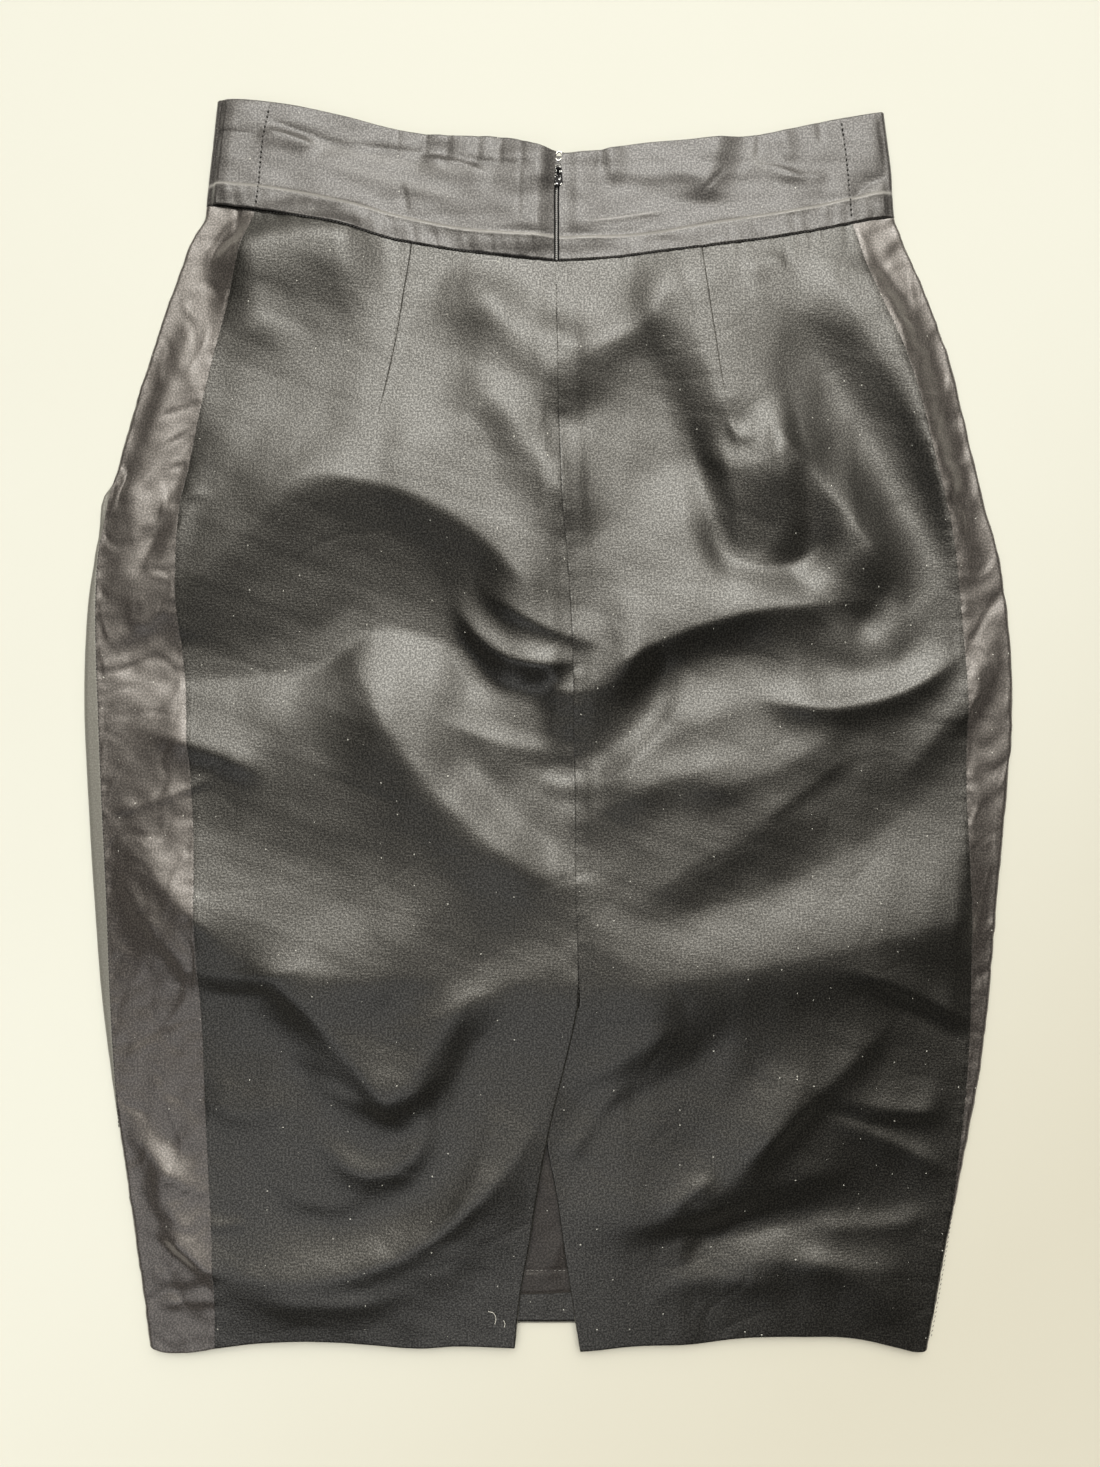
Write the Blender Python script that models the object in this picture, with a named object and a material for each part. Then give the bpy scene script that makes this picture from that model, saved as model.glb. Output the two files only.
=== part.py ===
"""Knee-length pencil skirt with a high waistband, laid face down on a flat surface.

The skirt is a tube of cloth laid flat with its back uppermost: a front panel beneath, a satin panel
round each side, and two back panels that meet at a centre-back seam, which opens into a slit at the
hem. The waistband is satin too, in five sections, and an invisible zip runs down its centre back.

Sizes in the tables and the named sizes are millimetres, and MM turns them into metres. +Z is up, +Y
runs from the hem to the waist, and +X is to the right of someone who looks down on the back.
"""

import math

import bmesh
import bpy
import numpy as np

MM = 0.001

# The cloth
SHELL_WALL = 1.2
BAND_WALL = 1.5
LINING_WALL = 1.0
SEAM_GAP = 0.3
LAYER_GAP = 0.3

# How the tube lies
EDGE_RADIUS = 2.5
LEAST_HEIGHT = 3.4
FLOOR_SOFTNESS = 0.4
LOFT_REACH = 90.0
FOLD_FADE = 22.0
FOLD_TAPER = 0.3

# The centre-back slit: its flaps cross for a stretch below the seam, then part
SEAM_END = -139.2
FLAPS_PART = -212.0
LAP_SPARE = 0.1
LAP_DROP = SHELL_WALL + LAYER_GAP + LAP_SPARE
LAP_REACH = 46.0
LAP_BLEND = 36.0
LAP_FADE = 40.0
DROP_START = 40.0
DROP_RUN = 36.0
SLIT_MIDDLE = 3.0
SLIT_HALF_WIDTH = 34.0
SLIT_FADE = 12.0
SLIT_SPARE = 2.0

# What shows inside the slit
LINING_LEFT = -62.0
LINING_RIGHT = 66.0
LINING_TOP = -196.0
LINING_HEM = -287.6
LINING_FADE = 15.0
TURN_UP_DEPTH = 34.0
TURN_UP_INSET = 0.4
TURN_UP_HEIGHT = SHELL_WALL + LAYER_GAP
LINING_HEIGHT = TURN_UP_HEIGHT + LINING_WALL + LAYER_GAP
OVER_LINING = LINING_HEIGHT + LINING_WALL + LAYER_GAP + SHELL_WALL + LAP_SPARE

# The zip, its slider and the hook above it
ZIP_SLOT = 3.4
ZIP_CHAIN = 2.7
CHAIN_DROP = 0.5
SLIDER_HEIGHT = 281.5
SLIDER_SIZE = (5.6, 7.5, 2.1)
SLIDER_BELOW_BAND = 0.4
BRIDGE_RADIUS = 1.75
BRIDGE_HOLE = 1.0
BRIDGE_WIDTH = 1.5
PIN_RISE = 1.05
TAB_LENGTH = 9.6
TAB_WIDTH = 4.9
TAB_SHOULDER = 3.9
TAB_THICK = 1.0
TAB_BAR = 0.9
TAB_WINDOW = (2.3, 1.75)
HOOK_HEIGHT = 287.9
HOOK_HALF_SIZE = (1.55, 2.2)
HOOK_WIRE = 0.45

# Across the tube at each height: the two folded edges and the seams. A seam beyond an edge has gone
# round the fold, and its place is measured on along the cloth.
TUBE_COLUMNS = ("height", "left_edge", "left_front", "left_back", "centre", "right_back", "right_edge")
TUBE = (
    (317.5, -168.2, -171.6, -140.0, 5.9, 146.6, 169.6),
    (294.3, -170.6, -174.7, -144.4, 5.6, 149.7, 172.6),
    (281.5, -172.1, -176.4, -145.6, 4.8, 151.2, 174.2),
    (268.8, -173.5, -178.1, -146.5, 4.1, 152.2, 174.9),
    (256.0, -175.4, -180.7, -148.9, 4.1, 153.3, 176.4),
    (249.4, -179.6, -183.4, -151.2, 4.1, 155.0, 178.9),
    (243.3, -182.8, -185.9, -153.1, 4.1, 156.8, 181.5),
    (230.5, -187.4, -190.5, -157.1, 4.1, 160.9, 187.2),
    (217.8, -192.0, -195.1, -160.6, 4.2, 165.4, 192.3),
    (192.3, -200.6, -203.2, -167.2, 4.5, 176.6, 201.9),
    (166.8, -208.8, -210.4, -173.7, 4.9, 185.2, 208.8),
    (141.3, -216.2, -217.5, -179.5, 5.9, 191.6, 214.7),
    (128.5, -219.6, -219.4, -182.0, 6.3, 194.9, 217.5),
    (115.8, -226.5, -222.6, -184.8, 6.8, 198.5, 220.7),
    (103.0, -228.2, -225.2, -186.1, 7.9, 201.9, 224.1),
    (90.3, -229.9, -227.5, -187.0, 9.2, 204.4, 227.7),
    (64.8, -233.7, -229.2, -187.9, 11.1, 207.8, 232.3),
    (39.3, -235.4, -229.1, -185.9, 12.3, 210.0, 234.9),
    (13.8, -235.9, -228.2, -183.2, 12.6, 211.1, 235.9),
    (-37.2, -233.8, -226.2, -179.4, 13.3, 211.5, 232.5),
    (-88.2, -230.7, -223.7, -176.8, 14.0, 213.0, 227.8),
    (-139.2, -226.7, -221.8, -175.2, 15.0, 213.6, 223.6),
    (-164.7, -223.6, -220.4, -174.3, 15.0, 212.8, 220.6),
    (-190.2, -220.1, -218.5, -173.4, 15.0, 210.8, 216.5),
    (-215.7, -216.1, -216.4, -172.4, 15.0, 207.9, 211.6),
    (-241.2, -212.4, -213.9, -171.0, 15.0, 204.8, 206.6),
    (-266.7, -208.8, -211.4, -169.6, 15.0, 200.9, 201.4),
    (-292.2, -205.3, -209.4, -168.7, 15.0, 196.6, 196.9),
    (-317.5, -202.0, -208.3, -169.1, 15.0, 191.8, 192.0),
)

# The loft of the empty tube along its middle, above its edges
LOFT_COLUMNS = ("height", "loft")
LOFT = (
    (317.5, 0.6),
    (281.5, 1.3),
    (230.0, 2.2),
    (120.0, 3.6),
    (0.0, 4.0),
    (-139.0, 3.2),
    (-240.0, 1.4),
    (-317.5, 0.3),
)

# The long edges, from the left fold to the right one
EDGE_COLUMNS = ("across", "height")
WAIST = (
    (-168.0, 317.7),
    (-149.7, 316.9),
    (-129.3, 314.6),
    (-108.9, 310.6),
    (-88.5, 305.2),
    (-68.1, 300.8),
    (-47.7, 298.7),
    (-17.1, 296.6),
    (-6.9, 293.3),
    (4.5, 290.3),
    (23.7, 291.2),
    (44.1, 294.8),
    (74.7, 296.8),
    (105.3, 299.6),
    (146.1, 308.0),
    (170.6, 312.1),
)
BAND_SEAM = (
    (-176.0, 263.2),
    (-169.6, 264.0),
    (-157.3, 262.1),
    (-136.9, 258.1),
    (-96.1, 249.7),
    (-55.3, 241.7),
    (-14.5, 236.6),
    (3.8, 235.2),
    (26.3, 236.3),
    (67.1, 240.0),
    (118.1, 247.3),
    (153.8, 254.5),
    (164.0, 256.8),
    (176.5, 258.2),
)
BACK_HEM = (
    (-204.3, -313.8),
    (-195.6, -316.9),
    (-185.4, -317.5),
    (-170.1, -315.3),
    (-149.7, -312.6),
    (-124.2, -311.2),
    (-88.5, -313.1),
    (-68.1, -314.9),
    (-47.7, -313.8),
    (-17.6, -314.7),
    (16.1, -316.4),
    (44.1, -313.7),
    (74.7, -312.6),
    (95.1, -309.9),
    (128.3, -309.1),
    (156.3, -310.2),
    (176.7, -314.7),
    (186.9, -317.0),
    (195.6, -315.9),
)
FRONT_HEM = (
    (-204.3, -313.8),
    (-150.0, -308.5),
    (-80.0, -304.4),
    (0.0, -303.6),
    (80.0, -304.4),
    (150.0, -308.5),
    (195.6, -315.9),
)

# The slit's two edges, from the hem up
SLIT_COLUMNS = ("height", "left_flap", "right_flap")
SLIT = (
    (-317.0, -17.2, 16.1),
    (-287.1, -14.0, 11.3),
    (-261.6, -9.4, 7.4),
    (-236.1, -5.4, 3.9),
    (-210.6, -0.8, -0.9),
    (-195.3, 2.5, -1.8),
    (-177.5, 6.8, 2.3),
    (-154.5, 12.1, 8.9),
    (-139.2, 15.0, 15.0),
)

# The largest folds of the back: three points along each, its height (a trough's is negative), its
# reach to the left and to the right of someone who walks along it from its first point, and how
# round its flanks are
FOLD_COLUMNS = ("name", "start", "middle", "end", "height", "left_reach", "right_reach", "roundness")
FOLDS = (
    ("left shoulder ridge", (-175, 225), (-134, 243), (-76, 235), 8.6, 17, 32, 1.9),
    ("left shoulder second ridge", (-188, 167), (-155, 198), (-117, 197), 1.8, 12, 15, 1.8),
    ("left satin ridge", (-233, 65), (-208, 137), (-174, 215), 3.8, 22, 10, 1.7),
    ("left arm", (-239, 28), (-167, 85), (-101, 151), 5.0, 56, 26, 1.4),
    ("hip crest", (-165, 121), (-76, 119), (14, 24), 8.0, 43, 22, 1.4),
    ("hip valley left", (-239, 46), (-165, 28), (-86, 46), -6.8, 47, 15, 1.3),
    ("hip valley right", (-132, 36), (-78, 50), (-15, 13), -6.0, 49, 20, 1.4),
    ("smile under valley", (-55, 46), (-22, 19), (21, 25), -2.4, 10, 17, 1.6),
    ("centre streak one", (-53, 234), (-21, 201), (21, 154), 6.2, 17, 19, 1.8),
    ("centre streak two", (-52, 188), (-14, 147), (22, 91), 4.8, 15, 16, 1.8),
    ("centre grey patch", (-86, 131), (-55, 146), (-25, 136), 1.6, 12, 18, 1.9),
    ("patch under band", (-15, 195), (26, 191), (67, 231), 5.6, 15, 21, 1.7),
    ("w left crest", (54, 256), (78, 187), (100, 126), 6.6, 51, 20, 1.5),
    ("w left hollow", (34, 220), (58, 164), (80, 103), -4.0, 20, 31, 1.7),
    ("w middle crest", (72, 139), (99, 129), (126, 151), 5.0, 15, 31, 1.6),
    ("w right crest", (100, 162), (133, 126), (182, 59), 7.6, 22, 21, 1.4),
    ("w valley", (67, 108), (99, 83), (154, 108), -5.6, 31, 12, 1.5),
    ("w valley right", (108, 90), (138, 67), (179, 39), -4.4, 27, 15, 1.5),
    ("right diagonal crest", (123, 256), (169, 180), (223, 70), 7.2, 34, 22, 1.5),
    ("right diagonal hollow", (114, 223), (161, 146), (201, 65), -6.2, 23, 23, 1.8),
    ("s curve left crest", (-17, 28), (21, 18), (54, 52), 4.4, 17, 23, 1.5),
    ("s curve crest", (8, 14), (80, 52), (174, 62), 6.0, 31, 12, 1.4),
    ("s curve valley left", (-30, -19), (17, -16), (70, 34), -4.2, 34, 29, 1.5),
    ("s curve valley", (31, 2), (72, 32), (133, 26), -2.4, 17, 41, 1.6),
    ("u valley", (113, 44), (153, 28), (200, 55), -2.0, 13, 15, 1.8),
    ("right streak crest", (93, 18), (154, 11), (218, 45), 4.0, 9, 9, 1.5),
    ("right side ridge", (169, -37), (202, 6), (238, 70), 1.8, 12, 10, 1.6),
    ("bright streak crest", (14, -40), (47, -14), (77, 28), 2.6, 8, 15, 1.6),
    ("patch crest", (57, -35), (105, -24), (154, 4), 1.9, 15, 11, 1.7),
    ("middle dark crest", (-4, -63), (47, -32), (108, -17), 2.4, 12, 15, 1.7),
    ("crest under the streak", (21, -37), (67, -4), (123, 14), 2.4, 15, 31, 1.8),
    ("middle low crest", (31, -96), (85, -63), (146, -37), 3.0, 31, 17, 1.6),
    ("right long valley", (21, -101), (116, -80), (223, -6), -3.4, 29, 29, 1.6),
    ("right long crest", (-55, -142), (108, -119), (291, -72), 7.2, 43, 32, 1.6),
    ("left small crest", (-208, -1), (-173, -11), (-139, -26), 3.0, 11, 8, 1.6),
    ("long diagonal valley", (-60, 14), (-25, -35), (36, -78), -3.4, 20, 17, 1.7),
    ("long diagonal crest", (-107, 55), (-57, -32), (29, -92), 6.6, 22, 23, 1.6),
    ("left broad crest", (-239, -67), (-150, -115), (-15, -116), 7.0, 49, 23, 1.7),
    ("left broad valley", (-193, -22), (-137, -68), (-60, -88), -2.0, 26, 31, 2.0),
    ("rising crest", (-91, -162), (-45, -141), (16, -116), 1.8, 12, 15, 1.7),
    ("v left crest", (-150, -114), (-104, -160), (-68, -211), 4.6, 22, 12, 1.5),
    ("v right crest", (-25, -121), (-55, -157), (-81, -206), 2.8, 15, 13, 1.8),
    ("arc crest", (-219, -261), (-106, -278), (14, -160), 3.8, 13, 22, 1.6),
    ("inside arc valley", (-157, -236), (-101, -250), (-45, -223), -1.8, 17, 15, 1.8),
    ("left satin low crest", (-229, -183), (-196, -234), (-165, -287), 2.6, 11, 9, 1.7),
    ("low right curved crest", (6, -256), (77, -239), (136, -147), 3.0, 22, 13, 1.7),
    ("low right streak crest", (85, -230), (128, -191), (179, -142), 2.6, 18, 8, 1.6),
    ("low right second crest", (52, -256), (103, -236), (164, -219), 2.0, 13, 10, 1.7),
    ("low right valley", (26, -271), (113, -248), (215, -241), -2.8, 23, 15, 1.4),
    ("hem crest right", (77, -273), (144, -276), (195, -310), 1.8, 10, 11, 1.7),
)


def columns(table, names):
    """The table's columns by name, each sorted by the first one."""
    rows = np.array(sorted(table))
    return {name: rows[:, index] for index, name in enumerate(names)}


def smooth(stations, values, at):
    """Cubic curve through the values, whose slope at each station comes from its neighbours."""
    slopes = np.gradient(values, stations)
    low = np.clip(np.searchsorted(stations, at) - 1, 0, len(stations) - 2)
    span = stations[low + 1] - stations[low]
    t = np.clip((at - stations[low]) / span, -0.5, 1.5)
    start = values[low] * (1 + 2 * t) * (1 - t) ** 2 + slopes[low] * span * t * (1 - t) ** 2
    end = values[low + 1] * t**2 * (3 - 2 * t) + slopes[low + 1] * span * t**2 * (t - 1)
    return start + end


def step(t):
    """0 below 0 and 1 above 1, with a level start and end."""
    t = np.clip(t, 0.0, 1.0)
    return t * t * (3 - 2 * t)


def along_table(table, names):
    """A function that reads any of the table's columns at a height."""
    read = columns(table, names)
    return lambda name, at: smooth(read[names[0]], read[name], at)


tube = along_table(TUBE, TUBE_COLUMNS)
slit = along_table(SLIT, SLIT_COLUMNS)
loft = along_table(LOFT, LOFT_COLUMNS)


def edge_line(table):
    """A function that reads a long edge's height at a place across."""
    read = columns(table, EDGE_COLUMNS)
    return lambda across: smooth(read["across"], read["height"], across)


waist = edge_line(WAIST)
band_seam = edge_line(BAND_SEAM)
back_hem = edge_line(BACK_HEM)
front_hem = edge_line(FRONT_HEM)


def fold_height(x, y, start, middle, end, height, left_reach, right_reach, roundness):
    """A soft ridge along the parabola through three points: a bell across it, level at both ends."""
    run_x, run_y = end[0] - start[0], end[1] - start[1]
    length = math.hypot(run_x, run_y)

    def along_and_across(at_x, at_y):
        at_x, at_y = at_x - start[0], at_y - start[1]
        return (at_x * run_x + at_y * run_y) / length**2, (at_y * run_x - at_x * run_y) / length

    t, across = along_and_across(x, y)
    middle_t, sag = along_and_across(*middle)
    bow = sag / (middle_t * (1 - middle_t))
    steepness = bow * (1 - 2 * t) / length
    off = (across - bow * t * (1 - t)) / np.sqrt(1 + steepness**2)
    reach = np.where(off > 0, left_reach, right_reach)
    taper = step(t / FOLD_TAPER) * step((1 - t) / FOLD_TAPER)
    return height * taper * np.exp(-(np.abs(off / reach) ** roundness))


def all_folds(x, y):
    """The sum of the folds in the table."""
    total = np.zeros(np.shape(x))
    for row in FOLDS:
        fold = dict(zip(FOLD_COLUMNS[1:], row[1:]))
        total = total + fold_height(x, y, **fold)
    return total


def plateau(at, low, high, fade):
    """1 from low to high, and 0 further than the fade outside them."""
    return step((np.minimum(at - low, high - at) + fade) / fade)


def least_height(x, y):
    """The lowest that the back can lie: on the front, on the lining's hem, or on the slit's lap."""
    on_lining = plateau(x, LINING_LEFT, LINING_RIGHT, LINING_FADE)
    on_lining = on_lining * plateau(y, back_hem(x), LINING_TOP, LINING_FADE)
    on_lap = plateau(x, SLIT_MIDDLE - SLIT_HALF_WIDTH, SLIT_MIDDLE + SLIT_HALF_WIDTH, SLIT_FADE)
    on_lap = on_lap * plateau(y, FLAPS_PART - SLIT_SPARE, SEAM_END + SLIT_SPARE, LAP_FADE)
    least = LEAST_HEIGHT + (OVER_LINING - LEAST_HEIGHT) * on_lining
    return least + np.maximum(OVER_LINING + LAP_DROP - least, 0) * on_lap


def drape(x, y):
    """Height of the back's outer face: the loft of the empty tube with the folds laid over it."""
    inset = np.minimum(x - tube("left_edge", y), tube("right_edge", y) - x) - EDGE_RADIUS
    rise = loft("loft", y) * step(inset / LOFT_REACH) + all_folds(x, y) * step(inset / FOLD_FADE)
    height = 2 * EDGE_RADIUS + rise
    least = least_height(x, y)
    return least + FLOOR_SOFTNESS * np.logaddexp(0, (height - least) / FLOOR_SOFTNESS)


def right_flap_drop(x, y):
    """How far the right back panel sinks to pass beneath the left flap."""
    beside = step((LAP_REACH - (x - slit("left_flap", y))) / LAP_BLEND)
    below_seam_end = step((SEAM_END + DROP_START - y) / DROP_RUN)
    above_parting = step((y - FLAPS_PART + LAP_FADE) / DROP_RUN)
    return LAP_DROP * beside * below_seam_end * above_parting


def tube_point(place, y, drop):
    """x and z of the tube's outer face: flat beneath, half a circle at each edge, draped on top."""
    left_turn = tube("left_edge", y) + EDGE_RADIUS
    right_turn = tube("right_edge", y) - EDGE_RADIUS
    past = np.maximum(left_turn - place, place - right_turn)
    on_left = left_turn - place > place - right_turn
    turn = np.where(on_left, left_turn, right_turn)
    outward = np.where(on_left, -1.0, 1.0)
    angle = np.clip(past / EDGE_RADIUS, 0, math.pi)
    beneath = np.maximum(past - math.pi * EDGE_RADIUS, 0)
    x = np.where(past > 0, turn + outward * (EDGE_RADIUS * np.sin(angle) - beneath), place)
    z_top = drape(np.clip(place, left_turn, right_turn), y) - drop(x, y)
    z = np.where(past > 0, EDGE_RADIUS * (1 + np.cos(angle)), z_top)
    return x, z, angle > math.pi / 2


def no_drop(x, y):
    return np.zeros(np.shape(x))


def outer_face(across, along, place, ends, drop):
    """Points of a piece's outer face. A point's height and its place across settle each other."""
    low_end, high_end = ends
    y = np.full(np.shape(across), 100.0) * (2 * along - 1)
    for _ in range(7):
        x, z, under = tube_point(place(across, y), y, drop)
        low, high = low_end(x, under), high_end(x, under)
        y = low + (high - low) * along
    return np.stack([x, y, z], axis=-1)


def skin(name, material, across, rows, place, ends, wall, drop=no_drop):
    """A cut piece as a closed wall: its outer face on a grid, its inner face moved in by the wall."""
    along = np.linspace(0, 1, rows + 1)
    grid = np.meshgrid(across, along)
    outer = outer_face(*grid, place, ends, drop)
    nudge = 0.002
    run_across = outer_face(grid[0] + nudge, grid[1], place, ends, drop)
    run_across = run_across - outer_face(grid[0] - nudge, grid[1], place, ends, drop)
    run_along = outer_face(grid[0], grid[1] + nudge, place, ends, drop)
    run_along = run_along - outer_face(grid[0], grid[1] - nudge, place, ends, drop)
    normal = np.cross(run_across, run_along)
    normal = normal / np.linalg.norm(normal, axis=-1, keepdims=True)
    inner = outer - normal * wall
    return wall_object(name, material, outer, inner)


def strip(outer_line, inner_line):
    """Triangles between two lines of points. Neighbours split their rims alike, so the gap is even."""
    a, a_next, b, b_next = outer_line[:-1], outer_line[1:], inner_line[:-1], inner_line[1:]
    return [*zip(a, b, b_next), *zip(a, b_next, a_next)]


def wall_object(name, material, outer, inner):
    """Joins two grids of points, one behind the other, with a rim round them."""
    rows, width = outer.shape[:2]
    number = np.arange(rows * width).reshape(rows, width)
    back = number + rows * width
    quads = np.stack([number[:-1, :-1], number[:-1, 1:], number[1:, 1:], number[1:, :-1]], axis=-1)
    faces = quads.reshape(-1, 4).tolist() + (quads.reshape(-1, 4) + rows * width).tolist()
    for line in (np.s_[0], np.s_[-1], np.s_[:, 0], np.s_[:, -1]):
        faces += strip(number[line].tolist(), back[line].tolist())
    points = np.concatenate([outer.reshape(-1, 3), inner.reshape(-1, 3)]) * MM
    mesh = bpy.data.meshes.new(name)
    mesh.from_pydata(points.tolist(), [], faces)
    shape = bmesh.new()
    shape.from_mesh(mesh)
    bmesh.ops.recalc_face_normals(shape, faces=shape.faces)
    shape.to_mesh(mesh)
    shape.free()
    return finished(name, mesh, material)


def finished(name, mesh, material):
    """An object for the mesh, smooth but for its sharp edges, with its material."""
    mesh.shade_smooth()
    mesh.set_sharp_from_angle(angle=math.radians(50))
    mesh.materials.append(material)
    piece = bpy.data.objects.new(name, mesh)
    bpy.context.scene.collection.objects.link(piece)
    return piece


def cloth(name, colour, roughness, metallic=0.0):
    """A material of the piece's colour."""
    material = bpy.data.materials.new(name)
    material.use_nodes = True
    shader = material.node_tree.nodes["Principled BSDF"]
    shader.inputs["Base Color"].default_value = (*colour, 1)
    shader.inputs["Roughness"].default_value = roughness
    shader.inputs["Metallic"].default_value = metallic
    return material


def side_width(y):
    return tube("left_back", y) - tube("left_front", y)


def right_front(y):
    return tube("right_back", y) + side_width(y)


def between(low_side, high_side):
    """Places spread evenly between two seams, each trimmed by half the seam's gap."""

    def place(across, y):
        low, high = low_side(y) + SEAM_GAP / 2, high_side(y) - SEAM_GAP / 2
        return low + (high - low) * across

    return place


def round_left_edge(across, y):
    """The left side panel: two fifths of its columns on top, two fifths on the fold, the rest beneath."""
    high = tube("left_back", y) - SEAM_GAP / 2
    low = tube("left_front", y) + SEAM_GAP / 2
    turn = tube("left_edge", y) + EDGE_RADIUS
    fold_start = np.clip(turn, low + 6, high - 6)
    fold_end = np.clip(turn - math.pi * EDGE_RADIUS, low + 2, fold_start - 3)
    return by_stretch(across, (low, fold_end, fold_start, high), (0.2, 0.6))


def round_right_edge(across, y):
    """The right side panel, as the left one but from its back seam outwards."""
    low = tube("right_back", y) + SEAM_GAP / 2
    high = right_front(y) - SEAM_GAP / 2
    turn = tube("right_edge", y) - EDGE_RADIUS
    fold_start = np.clip(turn, low + 2, high - 8)
    fold_end = np.clip(turn + math.pi * EDGE_RADIUS, fold_start + 3, high - 3)
    return by_stretch(across, (low, fold_start, fold_end, high), (0.4, 0.8))


def front_places(across, y):
    """The front panel: from its right seam beneath the tube, then round the left fold to its seam."""
    turn = tube("left_edge", y) + EDGE_RADIUS
    high = tube("left_front", y) - SEAM_GAP / 2
    fold_end = np.minimum(turn - math.pi * EDGE_RADIUS, high) - 6
    right_turn = tube("right_edge", y) - EDGE_RADIUS
    seam_x = 2 * right_turn + math.pi * EDGE_RADIUS - right_front(y)
    low = 2 * turn - math.pi * EDGE_RADIUS - seam_x + SEAM_GAP / 2
    middle = (low + fold_end) / 2
    return by_stretch(across, (low, middle, fold_end, high), (0.25, 0.5))


def by_stretch(across, bounds, shares):
    """Maps 0 to 1 onto four bounds in a row, with the two inner ones at the given shares."""
    first, second = shares
    a, b, c, d = bounds
    low_part = a + (b - a) * across / first
    middle_part = b + (c - b) * (across - first) / (second - first)
    high_part = c + (d - c) * (across - second) / (1 - second)
    return np.where(across < first, low_part, np.where(across > second, high_part, middle_part))


def below_band(x, under):
    return band_seam(x) - SEAM_GAP / 2


def above_skirt(x, under):
    return band_seam(x) + SEAM_GAP / 2


def hem(x, under):
    return np.where(under, front_hem(x), back_hem(x))


def band_top(x, under):
    """The front of the band stands a little above the back."""
    peek = 0.8 * step((150 - np.abs(x)) / 60)
    return waist(x) + np.where(under, peek, 0.0)


def left_flap_side(y):
    return np.where(y > SEAM_END, tube("centre", y), slit("left_flap", np.minimum(y, SEAM_END)))


def right_flap_side(y):
    return np.where(y > SEAM_END, tube("centre", y), slit("right_flap", np.minimum(y, SEAM_END)))


def skirt_panels(wool, satin):
    """The five panels below the waistband, with the same rows, so that their seams match."""
    rows = 42
    ends = (hem, below_band)

    def seam(name):
        return lambda y: tube(name, y)

    back_columns = np.linspace(0, 1, 19)
    left = between(seam("left_back"), left_flap_side)
    right = between(right_flap_side, seam("right_back"))
    skin("back_left", wool, back_columns, rows, left, ends, SHELL_WALL)
    skin("back_right", wool, back_columns, rows, right, ends, SHELL_WALL, right_flap_drop)
    side_columns = np.linspace(0, 1, 11)
    skin("side_left", satin, side_columns, rows, round_left_edge, ends, SHELL_WALL)
    skin("side_right", satin, side_columns, rows, round_right_edge, ends, SHELL_WALL)
    skin("front", wool, np.linspace(0, 1, 13), rows, front_places, ends, SHELL_WALL)


def waistband(satin):
    """The band's five sections, sewn end to end but for the zip's slot."""
    rows = 4
    ends = (above_skirt, band_top)
    half_slot = (ZIP_SLOT - SEAM_GAP) / 2

    def left_of_zip(y):
        return tube("centre", y) - half_slot

    def right_of_zip(y):
        return tube("centre", y) + half_slot

    left = between(lambda y: tube("left_back", y), left_of_zip)
    right = between(right_of_zip, lambda y: tube("right_back", y))
    skin("band_back_left", satin, np.linspace(0, 1, 13), rows, left, ends, BAND_WALL)
    skin("band_back_right", satin, np.linspace(0, 1, 13), rows, right, ends, BAND_WALL)
    side_columns = np.linspace(0, 1, 11)
    skin("band_side_left", satin, side_columns, rows, round_left_edge, ends, BAND_WALL)
    skin("band_side_right", satin, side_columns, rows, round_right_edge, ends, BAND_WALL)
    skin("band_front", satin, np.linspace(0, 1, 13), rows, front_places, ends, BAND_WALL)


def flat_piece(name, material, across, low_end, high_end, height, wall):
    """A piece that lies flat inside the tube, between a lower and an upper edge."""
    low, high = low_end(across), high_end(across)
    x = np.stack([across, across])
    top = np.stack([x, np.stack([low, high]), np.full_like(x, height + wall)], axis=-1)
    return wall_object(name, material, top, top - np.array([0, 0, wall]))


def inside_the_slit(wool, lining_satin):
    """The front's turned-up hem and, on it, the lining's lower edge."""
    across = np.linspace(LINING_LEFT, LINING_RIGHT, 9)
    flat_piece(
        "front_hem_turn_up",
        wool,
        across,
        lambda x: front_hem(x) + TURN_UP_INSET,
        lambda x: front_hem(x) + TURN_UP_DEPTH,
        TURN_UP_HEIGHT,
        LINING_WALL,
    )
    flat_piece(
        "lining",
        lining_satin,
        across,
        lambda x: np.full_like(x, LINING_HEM),
        lambda x: np.full_like(x, LINING_TOP),
        LINING_HEIGHT,
        LINING_WALL,
    )


def box(name, material, centre, size, rounding=0.0):
    """A block of the given size, with its edges rounded."""
    corners = np.array([(i, j, k) for i in (-1, 1) for j in (-1, 1) for k in (-1, 1)]) / 2
    points = (np.array(centre) + corners * np.array(size)) * MM
    faces = ((0, 1, 3, 2), (4, 6, 7, 5), (0, 4, 5, 1), (2, 3, 7, 6), (0, 2, 6, 4), (1, 5, 7, 3))
    mesh = bpy.data.meshes.new(name)
    mesh.from_pydata(points.tolist(), [], faces)
    mesh.update()
    piece = finished(name, mesh, material)
    if rounding:
        edge = piece.modifiers.new("rounded edges", "BEVEL")
        edge.width = rounding * MM
        edge.segments = 2
    return piece


def outline_plate(name, material, outline, to_space, thick):
    """A flat outline given its thickness, where to_space puts (u, v, height) into the part's frame."""
    count = len(outline)
    lower = [to_space(u, v, -thick / 2) for u, v in outline]
    upper = [to_space(u, v, thick / 2) for u, v in outline]
    sides = [(i, (i + 1) % count, (i + 1) % count + count, i + count) for i in range(count)]
    faces = [tuple(range(count))[::-1], tuple(range(count, 2 * count)), *sides]
    mesh = bpy.data.meshes.new(name)
    mesh.from_pydata((np.array(lower + upper) * MM).tolist(), [], faces)
    mesh.update()
    return finished(name, mesh, material)


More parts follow.
